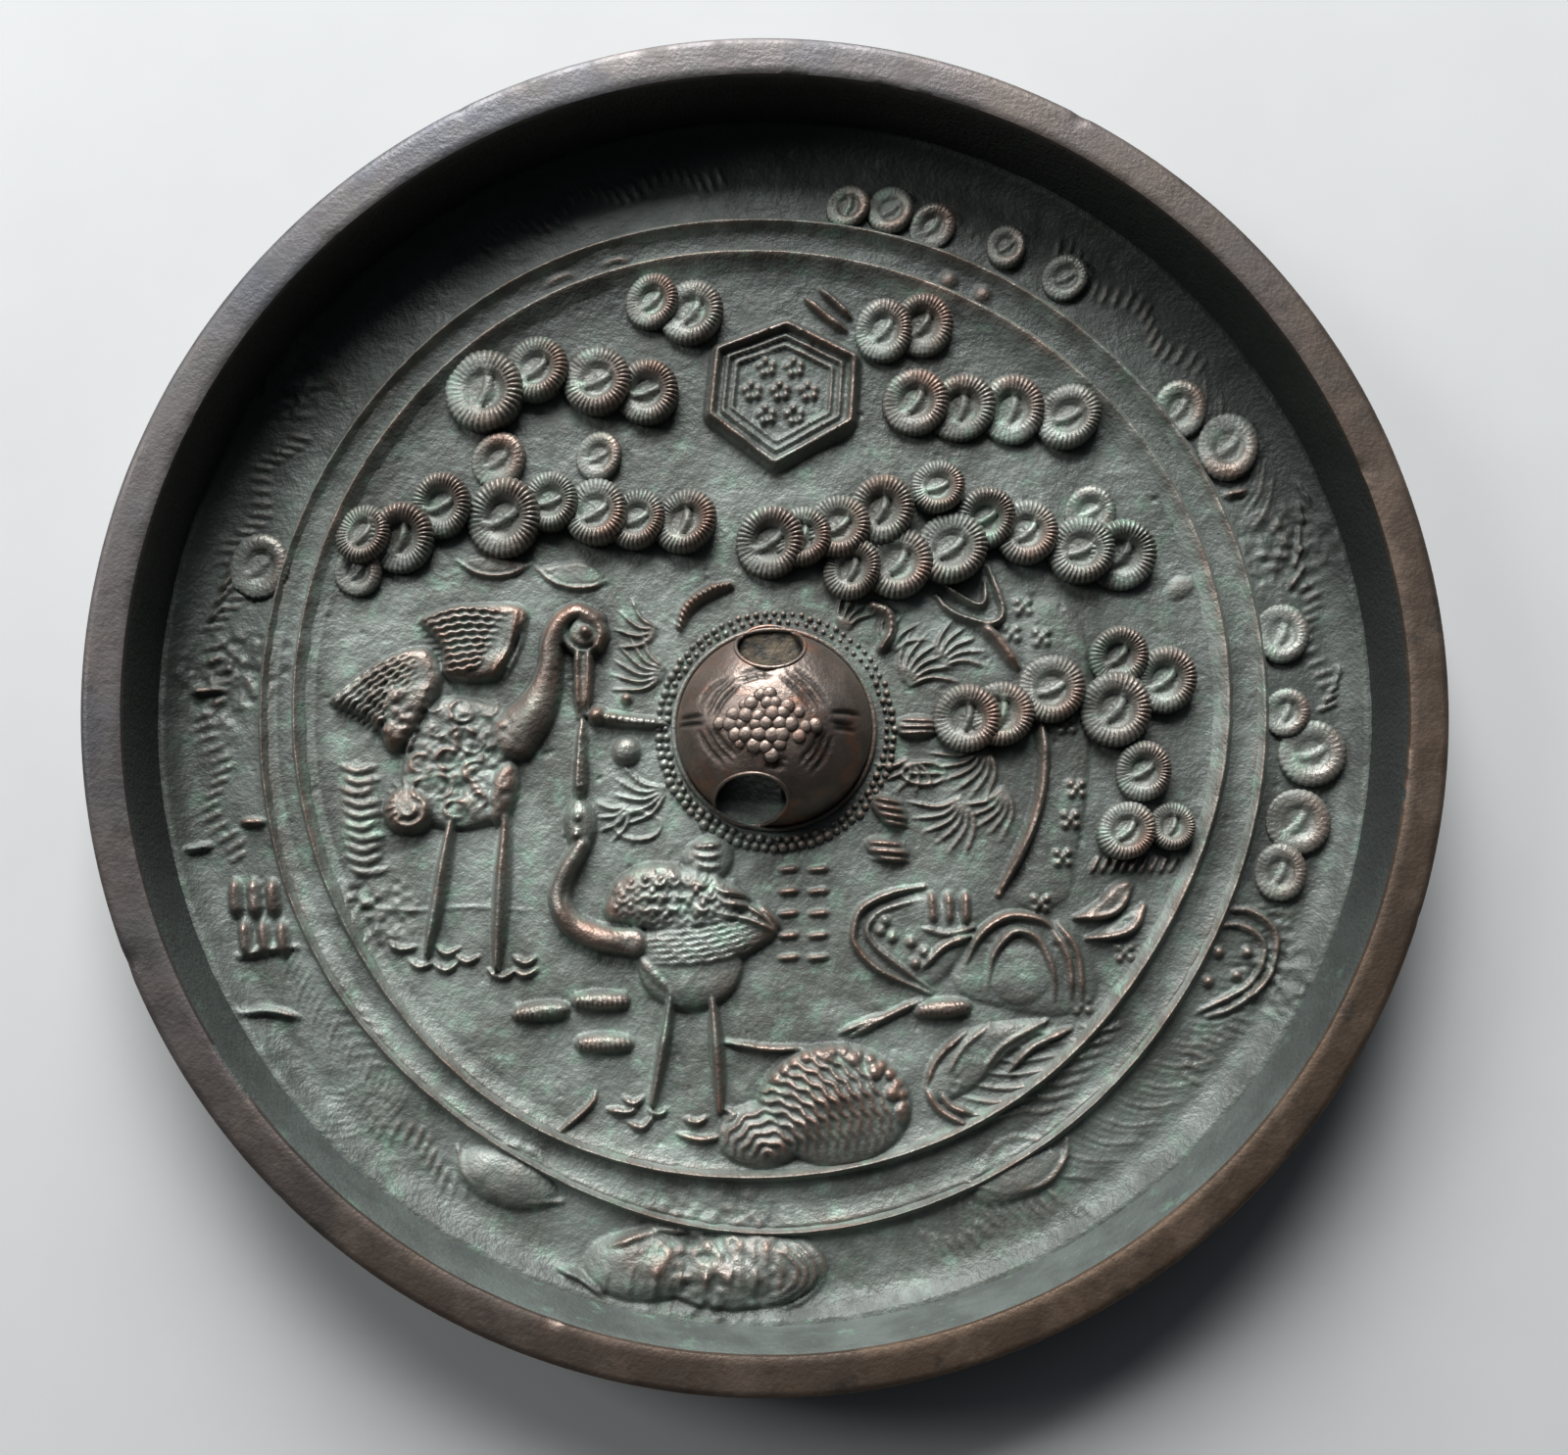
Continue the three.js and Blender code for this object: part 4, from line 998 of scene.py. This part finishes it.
# %% Plate, wall and rim
RIM_STEPS = 720
INSIDE_Z = FIELD_Z - 0.35
foot = [(0, 0), (20, 0), (40, 0), (OUTER_RADIUS - 0.7, 0), (OUTER_RADIUS - 0.2, 0.12)]
side = [(OUTER_RADIUS, z) for z in (0.5, 3, 6, 9, RIM_TOP - 0.6)]
outer_edge = [(OUTER_RADIUS - back, RIM_TOP - down) for back, down in ((0.07, 0.25), (0.35, 0.04))]
flat_top = [(OUTER_RADIUS - back, RIM_TOP) for back in (0.7, 1.3, 1.9, 2.5)]
inner_edge = [(RIM_INNER + out, RIM_TOP - down) for out, down in ((0.45, 0.01), (0.15, 0.12), (0.02, 0.4))]
wall = [(52.5, 9.5), (52.4, 7.8), (52.28, 6.0), (52.15, 4.2), (FIELD_RADIUS + 0.02, FIELD_Z + 0.1)]
under = [(FIELD_RADIUS - 0.1, INSIDE_Z), (30, INSIDE_Z), (0, INSIDE_Z)]
bm = spun(foot + side + outer_edge + flat_top + inner_edge + wall + under, RIM_STEPS)
stray = np.random.default_rng(21)
WAVE_COUNTS = (3, 5, 8, 13, 21, 34, 55, 89)
waves = [(k, stray.uniform(0, 2 * math.pi), stray.uniform(0.3, 1.0) / k ** 0.35) for k in WAVE_COUNTS]
for vert in bm.verts:
    far = math.hypot(vert.co.x, vert.co.y)
    angle = math.atan2(vert.co.y, vert.co.x)
    rough = sum(size * math.sin(k * angle + phase + 0.7 * vert.co.z) for k, phase, size in waves)
    on_edge = far > OUTER_RADIUS - 0.8 or far < RIM_INNER + 0.6
    if RIM_TOP - 0.5 < vert.co.z < RIM_TOP - 0.01 or (vert.co.z > RIM_TOP - 0.1 and on_edge):
        vert.co.z -= 0.03 * max(0, rough)
    if FIELD_Z + 0.1 < vert.co.z < RIM_TOP - 0.2 and far < RIM_INNER + 0.4:
        grow = 1 + 0.045 * rough / far
        vert.co.x *= grow
        vert.co.y *= grow
# Chips of the two edges: place round the rim in degrees, radius, size.
NICKS = [(62, 55.9, 0.5), (118, 55.9, 0.35), (203, 55.9, 0.6), (251, 52.7, 0.45), (300, 55.9, 0.4),
    (21, 52.7, 0.4), (341, 55.9, 0.35), (155, 52.7, 0.35), (88, 52.7, 0.3), (226, 55.9, 0.3)]
for degrees, far, size in NICKS:
    spot = Vector((far * math.cos(math.radians(degrees)), far * math.sin(math.radians(degrees)), 11.45))
    for vert in bm.verts:
        if vert.co.z > 10.8:
            near = 1 - (vert.co - spot).length / (2 * size)
            if near > 0:
                vert.co.z -= 0.5 * size * near
for face in bm.faces:
    middle = face.calc_center_median()
    far = math.hypot(middle.x, middle.y)
    if middle.z < 0.05:
        face.material_index = 2
    elif far < RIM_INNER + 0.06:
        face.material_index = 1
body = piece(bm, "mirror_body", [rim_bronze, wall_bronze, face_bronze], math.radians(38))
spots = points_of(body.data)
angles = np.arctan2(spots[:, 1], spots[:, 0])
# Painted reflection: the rim turns grey towards the upper left and stays brown at the lower right.
keep_map(body.data, "wear_and_sheen", 0.5 + 0.5 * np.cos(angles + math.radians(45)))
# Painted shade: the wall is dark except near the bottom, darkest at the top.
keep_map(body.data, "dirt_and_shade", np.clip(1.14 + np.sin(angles), 0.0, 0.92))
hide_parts("mirror")

# %% [markdown]
# ## The carved field
#
# The field is turned as rings of thin slabs, finer rows where the picture is fine. Their upper
# surface is then lifted by the carving board. Neighbouring slabs read the same heights at the seam,
# and the seam's edges are kept sharp so that the shading runs on across it.

# %% The carved field
def field_slab(name, inner, outer, rows, steps):
    radii = np.linspace(inner, outer, rows + 1)
    floor = FIELD_Z - 1.0
    profile = [(r, FIELD_Z) for r in radii] + [(outer, floor), (inner, floor)]
    bm = spun(profile, steps, closed=inner > 0)
    for edge in bm.edges:
        edge.smooth = True
    made = piece(bm, name, [relief_bronze], math.radians(60))
    spots = points_of(made.data)
    top = spots[:, 2] > FIELD_Z - 0.01
    x, y = spots[:, 0], spots[:, 1]
    spots[top, 2] += sampled(board, x[top], y[top])
    made.data.vertices.foreach_set("co", (spots * MM).astype(np.float32).ravel())
    made.data.update()
    keep_map(made.data, "wear_and_sheen", sampled(wear_map, x, y))
    # Dirt and painted shade in hollows and beside raised forms.
    keep_map(made.data, "dirt_and_shade", sampled(dirt_and_shade_map, x, y))
    in_mouth = 1.25 - np.hypot((x - 0.3) / 2.9, (y - 4.3) / 2.3)
    keep_map(made.data, "dirt", np.clip(in_mouth * 5, 0, 1))
    # Painted shade only.
    keep_map(made.data, "painted_shade", sampled(painted_shade_map, x, y))


# Each slab: inner and outer radius, rows of points outward, points round.
SLABS = {
    "field_centre": (0.0, 10.0, 40, 360), "field_inner": (10.0, 25.0, 84, 900),
    "field_middle": (25.0, 33.0, 46, 1250), "field_outer": (33.0, 40.3, 42, 1500),
    "field_between": (40.3, 43.2, 12, 900), "field_border": (43.2, 52.2, 50, 1300)}
for name, (inner, outer, rows, steps) in SLABS.items():
    field_slab(name, inner, outer, rows, steps)

# %% [markdown]
# ## The two raised rings
#
# Two ridges, drawn by hand, run round the picture. Each rises slowly on its inner side and drops
# steeply outside, so it catches the light as a thin line. A ridge is turned first and then pushed in
# and out as far as the real line strays. Its inner slope is narrower at the picture's bottom.

# %% The two raised rings
def strayed(wobble, angle):
    share = (angle / (2 * math.pi)) % 1 * len(wobble)
    k = int(share)
    t = share - k
    a, b, c, d = (wobble[(k + s) % len(wobble)] for s in (-1, 0, 1, 2))
    bend, twist = 2 * a - 5 * b + 4 * c - d, 3 * b - a - 3 * c + d
    return 0.5 * (2 * b + (c - a) * t + bend * t * t + twist * t ** 3)


def ring_ridge(name, radius, wobble, inner, outer, height, seed):
    slope = [(-1.0, -0.05), (-0.82, 0.10), (-0.62, 0.30), (-0.43, 0.52), (-0.26, 0.75), (-0.13, 0.91),
        (-0.05, 0.98), (0.0, 1.0)]
    profile = [(radius - inner, FIELD_Z - 0.6)]
    profile += [(radius + inner * x, FIELD_Z + height * z) for x, z in slope]
    profile += [(radius - outer * x, FIELD_Z + height * z) for x, z in slope[-2::-1] if x < -0.1]
    profile.append((radius + outer, FIELD_Z - 0.6))
    bm = spun(profile, 900, closed=True)
    chance = np.random.default_rng(seed)
    counts = (7, 12, 19, 31, 47, 71, 110)
    waves = [(k, chance.uniform(0, 2 * math.pi), chance.uniform(0.4, 1.0)) for k in counts]
    wear_and_sheen, dirt_and_shade = mark_layers(bm)
    for vert in bm.verts:
        far = math.hypot(vert.co.x, vert.co.y)
        angle = math.atan2(vert.co.y, vert.co.x)
        rough = sum(size * math.sin(k * angle + phase) for k, phase, size in waves) / 4
        lift = (vert.co.z - FIELD_Z) / height
        if lift > 0:
            vert.co.z -= 0.12 * height * (1 + rough) * lift
        fat = 1.0 + 0.15 * math.cos(angle - 0.3)
        if far < radius:
            fat *= 0.74 + 0.26 * math.sin(angle)
        out = radius + (far - radius) * fat + strayed(wobble, angle) + 0.06 * rough
        vert.co.xy = vert.co.xy * (out / far)
        vert[wear_and_sheen] = min(1, max(0, lift * 1.6 - 0.9))
        # The foot is darkened with dirt and painted shade.
        vert[dirt_and_shade] = min(1, max(0, 0.5 - 1.2 * lift))
    piece(bm, name, [relief_bronze])


ring_ridge("inner_ring", INNER_RING, INNER_WOBBLE, 1.9, 0.75, 1.55, 31)
ring_ridge("outer_ring", OUTER_RING, OUTER_WOBBLE, 1.3, 0.75, 1.4, 32)

# %% [markdown]
# ## Pine clumps
#
# Each pine is a row of round needle clumps that lean over each other. A clump is a slightly oval
# cushion with a raised border of close radial notches, a furrow inside it and one long needle ridge
# across its middle. The border is highest on one side, mostly the right, and its notches are shallower
# on the other, because that side tucks under the next clump. Some clumps beside the pines and close
# under the wall are lower and smoother, and they are a piece of their own.

# %% Pine clumps
def clump(bm, disc, x, y, radius, height, notches, cut, chance):
    source = disc.copy()
    radius *= 1.1
    slim = chance.uniform(0.86, 0.98)
    tilt = math.radians(65 + chance.uniform(-25, 25))
    lean = 0.30 + chance.uniform(-0.06, 0.06)
    ridge = math.radians(46 + chance.uniform(-28, 28))
    open_side = math.radians(10 + chance.uniform(-55, 55))
    wear_and_sheen, dirt_and_shade = mark_layers(source)
    for vert in source.verts:
        far = math.hypot(vert.co.x, vert.co.y)
        angle = math.atan2(vert.co.y, vert.co.x)
        squeeze = radius * (1 - (1 - slim) * math.sin(angle - tilt) ** 2)
        vert.co = (vert.co.x * squeeze, vert.co.y * squeeze, 0.0 if vert.co.z > -0.5 else -height - 0.6)
        rib = abs(math.sin(0.5 * notches * angle)) ** 0.6
        u = (vert.co.x * math.cos(ridge) + vert.co.y * math.sin(ridge)) / radius
        w = (vert.co.y * math.cos(ridge) - vert.co.x * math.sin(ridge)) / radius
        side = 0.5 + 0.5 * math.cos(angle - open_side)
        tube = math.sqrt(max(0.0, 1 - ((far - 0.74) / 0.30) ** 2))
        bend = w - 0.5 * u * u + 0.05
        needle = math.sqrt(max(0.0, 1 - (bend / 0.13) ** 2)) * max(0.0, 1 - (u / 0.55) ** 2) ** 0.6
        share = 0.34 + 0.06 * side + tube * (0.10 + 0.50 * side ** 0.7) + 0.18 * needle
        share -= cut * (0.35 + 0.65 * side) * (1 - rib) * min(1.0, max(0.0, (far - 0.52) / 0.12))
        share += lean * 0.3 * far * math.cos(angle - open_side)
        if vert.co.z > -0.01:
            vert.co.z = height * (share - 1)
            vert[wear_and_sheen] = min(1.0, max(0.15, (share - 0.48) * 1.9))
            # Low parts and notches are darkened with dirt and painted shade.
            vert[dirt_and_shade] = min(1.0, max(0.0, (0.52 - share) * 3.0 + 0.5 * (1 - rib) * (far > 0.62)))
        else:
            vert[dirt_and_shade] = 1.0
        if far > 0.8:
            reach = 1 - 0.025 * (1 - rib)
            vert.co.x *= reach
            vert.co.y *= reach
    bmesh.ops.translate(source, vec=(x * LAYOUT, y * LAYOUT, FIELD_Z + height), verts=source.verts)
    add_part(bm, source)


def pine_group(name, places, height, notches, cut, seed):
    rows = 12
    disc = spun([(k / rows, 0.0) for k in range(rows + 1)] + [(1.0, -1.0)], notches * 3)
    bm = bmesh.new()
    mark_layers(bm)
    chance = np.random.default_rng(seed)
    for k, (x, y, radius) in enumerate(places):
        clump(bm, disc, x, y, radius, height * (1 + 0.06 * math.sin(3 * k)), notches, cut, chance)
    disc.free()
    piece(bm, name, [relief_bronze], math.radians(75))


# Each group: where it starts and ends in PINES, its height and how deep its notches are.
PINE_GROUPS = {
    "pine_upper_left": (0, 4, 2.2, 0.11), "pine_left": (4, 12, 2.4, 0.12), "pine_middle": (12, 24, 2.4, 0.12),
    "pine_upper_right": (24, 32, 1.8, 0.085), "pine_right": (32, 41, 2.2, 0.10)}
for name, (start, end, height, cut) in PINE_GROUPS.items():
    pine_group(name, PINES[start:end], height, 38, cut, start + 50)
pine_group("pine_low", LOW_PINES, 1.1, 30, 0.045, 90)

# %% [markdown]
# ## The tortoise knob
#
# The shell is a high dome. Lines in twos and threes run round a heap of beads on its top, like the
# plates of a real shell, and a round-shouldered channel goes through it for the cord, a little askew,
# from one mouth to the other. The dome is turned and its lines are pressed in. The channel and then
# its mouths are cut out with booleans, so that they are real holes.

# %% The shell
SHELL_LINES = [[(-6.4, 1.7), (-5.5, 2.9), (-4.1, 3.8)], [(-5.8, 0.7), (-4.9, 2.4), (-3.5, 3.7)],
    [(-5.2, 0.3), (-4.4, 1.8), (-3.1, 3.1)], [(-3.2, 3.9), (-1.6, 4.4), (-0.1, 4.5)], [(-3.0, 3.3),
    (-1.6, 3.8), (-0.3, 3.8)], [(0.5, 3.7), (1.9, 2.5), (3.1, 0.9)], [(1.0, 4.2), (2.5, 2.9), (3.8, 1.2)],
    [(1.7, 4.5), (3.2, 3.2), (4.4, 1.6)], [(3.7, -0.6), (3.1, -2.1), (2.0, -3.4)], [(4.2, -0.9),
    (3.6, -2.4), (2.5, -3.8)], [(4.7, -1.2), (4.1, -2.8), (3.0, -4.2)], [(-0.9, -3.2), (0.0, -3.3),
    (0.9, -3.2)], [(-0.9, -3.7), (0.0, -3.8), (0.8, -3.7)], [(-6.4, -0.7), (-5.6, -2.2), (-4.3, -3.6)],
    [(-5.8, -0.5), (-5.0, -2.0), (-3.7, -3.3)], [(-5.2, -0.6), (-4.4, -1.8), (-3.3, -2.9)], [(4.7, 0.8),
    (6.0, 0.9), (7.2, 0.8)], [(4.8, 0.0), (5.6, -0.1), (6.5, -0.1)], [(4.9, -0.5), (5.8, -0.5),
    (6.7, -0.6)], [(-8.1, 0.6), (-7.1, 0.6), (-6.2, 0.6)], [(-8.1, 0.0), (-7.1, 0.0), (-6.1, -0.1)],]
line_sheet = sheet()
strokes(line_sheet, SHELL_LINES, 0.46, 0.26)
line_sheet = blurred(line_sheet, 0.1)


def shell_height(x, y):
    far = min(1.0, math.hypot(x, y) / KNOB_RADIUS)
    return KNOB_HEIGHT * math.sqrt(max(0.0, 1 - far ** 2.2))


rows = 72
profile = [(0.0, KNOB_HEIGHT)]
for k in range(1, rows + 1):
    turn = 0.5 * math.pi * k / rows
    r = KNOB_RADIUS * math.sin(turn) ** 0.98
    profile.append((r, shell_height(r, 0)))
profile += [(KNOB_RADIUS + 0.05, -0.1), (KNOB_RADIUS + 0.05, -1.0), (0.0, -1.0)]
bm = spun(profile, 320)
for vert in bm.verts:
    if vert.co.z > 0.3:
        x, y = vert.co.x, vert.co.y
        depth = float(sampled(line_sheet, np.array([x * LAYOUT]), np.array([y * LAYOUT]))[0])
        far = math.hypot(x, y) / KNOB_RADIUS
        out = Vector((x, y, 0)).normalized() * far + Vector((0, 0, 1.0 - 0.6 * far))
        vert.co -= out.normalized() * depth
bmesh.ops.translate(bm, vec=(KNOB_X, KNOB_Y, FIELD_Z), verts=bm.verts)
shell = piece(bm, "tortoise_shell", [knob_bronze, wall_bronze], math.radians(50))

# Each mouth: its middle from the shell's middle, and half its width and depth.
MOUTHS = [((-0.4, 6.75), (2.9, 2.15)), ((-2.0, -6.35), (3.05, 2.05))]
SHOULDER = 2
half = CHANNEL_WIDTH / 2 - 0.6
section = [(-half, -1.4), (half, -1.4)]
for sign, start in ((1, 0), (-1, math.pi / 2)):
    for a in np.linspace(start, start + math.pi / 2, 9):
        x = sign * (half - SHOULDER) + SHOULDER * math.cos(a)
        section.append((x, CHANNEL_HEIGHT - SHOULDER + SHOULDER * math.sin(a)))
(upper_x, upper_y), (lower_x, lower_y) = MOUTHS[0][0], MOUTHS[1][0]
knob_turn = Matrix.Rotation(-math.atan2(upper_x - lower_x, upper_y - lower_y), 3, "Z")
knob_spot = Vector((KNOB_X, KNOB_Y, FIELD_Z))


def cut_away(target, loop, step):
    bm = bmesh.new()
    end = bm.faces.new([bm.verts.new(place) for place in loop])
    made = bmesh.ops.extrude_face_region(bm, geom=[end])
    bmesh.ops.translate(bm, vec=step,
        verts=[part for part in made["geom"] if isinstance(part, bmesh.types.BMVert)])
    bmesh.ops.recalc_face_normals(bm, faces=bm.faces)
    bmesh.ops.translate(bm, vec=knob_spot, verts=bm.verts)
    bmesh.ops.scale(bm, vec=(MM, MM, MM), verts=bm.verts)
    tool_mesh = bpy.data.meshes.new("tool")
    bm.to_mesh(tool_mesh)
    bm.free()
    tool_mesh.materials.append(wall_bronze)
    tool = linked("tool", tool_mesh)
    cut = target.modifiers.new("cut", "BOOLEAN")
    cut.operation = "DIFFERENCE"
    cut.solver = "EXACT"
    cut.material_mode = "TRANSFER"
    cut.object = tool
    target.data = evaluated(target)
    target.modifiers.clear()
    bpy.data.objects.remove(tool)


def mouth(which, lift, grow=1.0):
    (x, y), (wide, deep) = MOUTHS[which]
    angles = np.linspace(0, 2 * math.pi, 49)[:-1]
    return [(x + wide * grow * math.cos(a), y + deep * grow * math.sin(a), lift) for a in angles]


middle = Vector(((upper_x + lower_x) / 2, (upper_y + lower_y) / 2, 0))
run = knob_turn @ Vector((0, 1, 0))
cut_away(shell, [middle - 6.6 * run + knob_turn @ Vector((x, 0, z)) for x, z in section], 13.2 * run)
for which in (0, 1):
    cut_away(shell, mouth(which, -0.6), (0, 0, 10))
pierced = shell.data
spots = points_of(pierced)
dx = spots[:, 0] - KNOB_X
dy = spots[:, 1] - KNOB_Y
lines = sampled(line_sheet, dx * LAYOUT, dy * LAYOUT)
# The shell's lines are darkened with dirt and painted shade.
keep_map(pierced, "dirt_and_shade", np.clip(lines * 3.5, 0, 0.8))
keep_map(pierced, "wear_and_sheen", np.zeros(len(spots)))
print("pierced shell", len(pierced.polygons), "faces")

# %% [markdown]
# Each mouth of the channel has a thin raised lip, where the mould's core met the shell.

# %% Lips of the channel
def mouth_lip(name, which):
    places = [(x, y, max(shell_height(x, y), 0.25)) for x, y, z in mouth(which, 0.0, 1.02)]
    line = bpy.data.curves.new(name, "CURVE")
    line.dimensions = "3D"
    line.bevel_depth = 0.17 * MM
    line.bevel_resolution = 3
    run = line.splines.new("POLY")
    run.use_cyclic_u = True
    run.points.add(len(places) - 1)
    for point, (px, py, pz) in zip(run.points, places):
        point.co = (*(MM * (Vector((px, py, pz)) + knob_spot)), 1.0)
    holder = linked(name, line)
    tube = evaluated(holder)
    bpy.data.objects.remove(holder)
    bm = bmesh.new()
    bm.from_mesh(tube)
    bpy.data.meshes.remove(tube)
    bmesh.ops.scale(bm, vec=(1 / MM, 1 / MM, 1 / MM), verts=bm.verts)
    bmesh.ops.recalc_face_normals(bm, faces=bm.faces)
    made = piece(bm, name, [knob_bronze])
    keep_map(made.data, "dirt_and_shade", np.zeros(len(made.data.vertices)))


mouth_lip("upper_lip", 0)
mouth_lip("lower_lip", 1)

# %% [markdown]
# The heap on the shell and the ring of beads round it are small round drops. Those of the heap are
# flat and touch each other, those of the ring stand in two rows and differ in size.

# %% Beads
def drop(bm, x, y, z, radius, tall):
    source = bmesh.new()
    wear_and_sheen, dirt_and_shade = mark_layers(source)
    bmesh.ops.create_uvsphere(source, u_segments=12, v_segments=8, radius=radius)
    for vert in source.verts:
        lift = vert.co.z / radius
        vert[wear_and_sheen] = min(1, max(0, lift * 1.0 - 0.3))
        # The underside is darkened with dirt and painted shade.
        vert[dirt_and_shade] = min(0.85, max(0, 0.7 - 1.4 * lift))
        vert.co = (vert.co.x + x, vert.co.y + y, vert.co.z * tall + z)
    add_part(bm, source)


bm = bmesh.new()
mark_layers(bm)
chance = np.random.default_rng(64)
for row in range(-3, 4):
    for column in range(-5, 6):
        x = 1.0 * column + 0.5 * (row % 2) + chance.uniform(-0.26, 0.26)
        y = 0.84 * row + chance.uniform(-0.2, 0.2)
        if abs(x / 4.3) + abs(y / 3.1) < 1:
            x, y = x - 0.8, y - 0.3
            z = FIELD_Z + shell_height(x, y) - 0.03
            drop(bm, KNOB_X + x, KNOB_Y + y, z, chance.uniform(0.5, 0.74), 0.46)
piece(bm, "shell_beads", [knob_bronze])

bm = bmesh.new()
mark_layers(bm)
for far, count, size in [(9.65, 74, 0.30), (10.3, 80, 0.36)]:
    for k in range(count):
        angle = 2 * math.pi * k / count
        reach = far + 0.2 * math.cos(angle + 0.4) + chance.uniform(-0.1, 0.1)
        bead = size * chance.uniform(0.75, 1.15) * (1.0 - 0.25 * math.sin(angle + 0.5))
        drop(bm, (KNOB_PLACE[0] + reach * math.cos(angle)) * LAYOUT,
            (KNOB_PLACE[1] + reach * math.sin(angle)) * LAYOUT,
            FIELD_Z + 0.08 + chance.uniform(-0.08, 0.05), bead, 1.1)
piece(bm, "bead_ring", [relief_bronze])

# %% [markdown]
# A thin lip runs round the shell's foot.

# %% The shell's lip
bm = spun([(8.45, -0.6), (8.45, 0.25), (8.65, 0.5), (8.9, 0.25), (8.9, -0.6)], 180, closed=True)
wear_and_sheen = mark_layers(bm)[0]
for vert in bm.verts:
    vert[wear_and_sheen] = 0.9 if vert.co.z > 0.4 else 0.2
bmesh.ops.translate(bm, vec=(KNOB_X, KNOB_Y, FIELD_Z), verts=bm.verts)
piece(bm, "shell_lip", [relief_bronze])

# %% [markdown]
# ## Stage, light and camera
#
# A plain pale floor. A broad soft light stands low beyond the picture's top, like a window, so each
# form throws its shadow down the picture, and a small weak one stands at the left. A faint glow comes
# from the window's side as well. The camera looks nearly straight down, close above the mirror, which
# is why the wall shows more on the far side.

# %% Stage, light and camera
FLOOR_HALF = 1.5
FLOOR_PALES = (0.36, 0.355, 0.345), (0.375, 0.37, 0.36)
bm = bmesh.new()
bmesh.ops.create_grid(bm, x_segments=2, y_segments=2, size=FLOOR_HALF)
floor_mesh = bpy.data.meshes.new("floor")
bm.to_mesh(floor_mesh)
bm.free()
pale = bpy.data.materials.new("pale_floor")
pale.use_nodes = True
tree = pale.node_tree
paint = tree.nodes["Principled BSDF"].inputs
plug(tree, paint["Roughness"], 0.9)
plug(tree, paint["Base Color"], mixed(tree, clouds(tree, 30.0, 0.3, 0.7), *FLOOR_PALES))
floor_mesh.materials.append(pale)
floor = linked("floor", floor_mesh)


def softbox(name, place, width, height, power, colour):
    lamp = bpy.data.lights.new(name, "AREA")
    lamp.shape = "RECTANGLE"
    lamp.size = width
    lamp.size_y = height
    lamp.energy = power
    lamp.color = colour
    made = linked(name, lamp)
    made.location = place
    made.rotation_euler = (-Vector(place)).to_track_quat("-Z", "Y").to_euler()


softbox("window", (-0.09, 0.62, 0.40), 0.42, 0.52, 18.0, (0.94, 0.97, 1.0))
softbox("side", (-0.55, 0.22, 0.42), 0.22, 0.22, 2.4, (0.96, 0.98, 1.0))

GLOW_FROM = (-0.26, 0.80, 0.54)
GLOW_COLOUR = (0.74, 0.84, 1.0)
world = bpy.data.worlds.new("studio")
world.use_nodes = True
sky = world.node_tree
direction = node(sky, "TexCoord").outputs["Generated"]
toward = node(sky, "VectorMath", {0: direction, 1: GLOW_FROM}, operation="DOT_PRODUCT").outputs["Value"]
glow = node(sky, "MapRange", {"Value": toward, "From Min": 0.3, "From Max": 1.0, "To Min": 0.02,
    "To Max": 0.30}, interpolation_type="SMOOTHSTEP")
plug(sky, sky.nodes["Background"].inputs["Strength"], glow.outputs["Result"])
plug(sky, sky.nodes["Background"].inputs["Color"], GLOW_COLOUR)
bpy.context.scene.world = world

CAMERA_PLACE = (-0.002618, -0.016459, 0.155706)
LEAN_X, LEAN_Y = math.radians(5.4058), math.radians(-1.4468)
lens = bpy.data.cameras.new("camera")
lens.lens = 40.80
lens.sensor_width = 36.0
camera = linked("camera", lens)
turn = Matrix.Rotation(LEAN_Y, 4, "Y") @ Matrix.Rotation(LEAN_X, 4, "X")
camera.matrix_world = Matrix.Translation(CAMERA_PLACE) @ turn
bpy.context.scene.camera = camera
bpy.context.scene.view_settings.view_transform = "Standard"
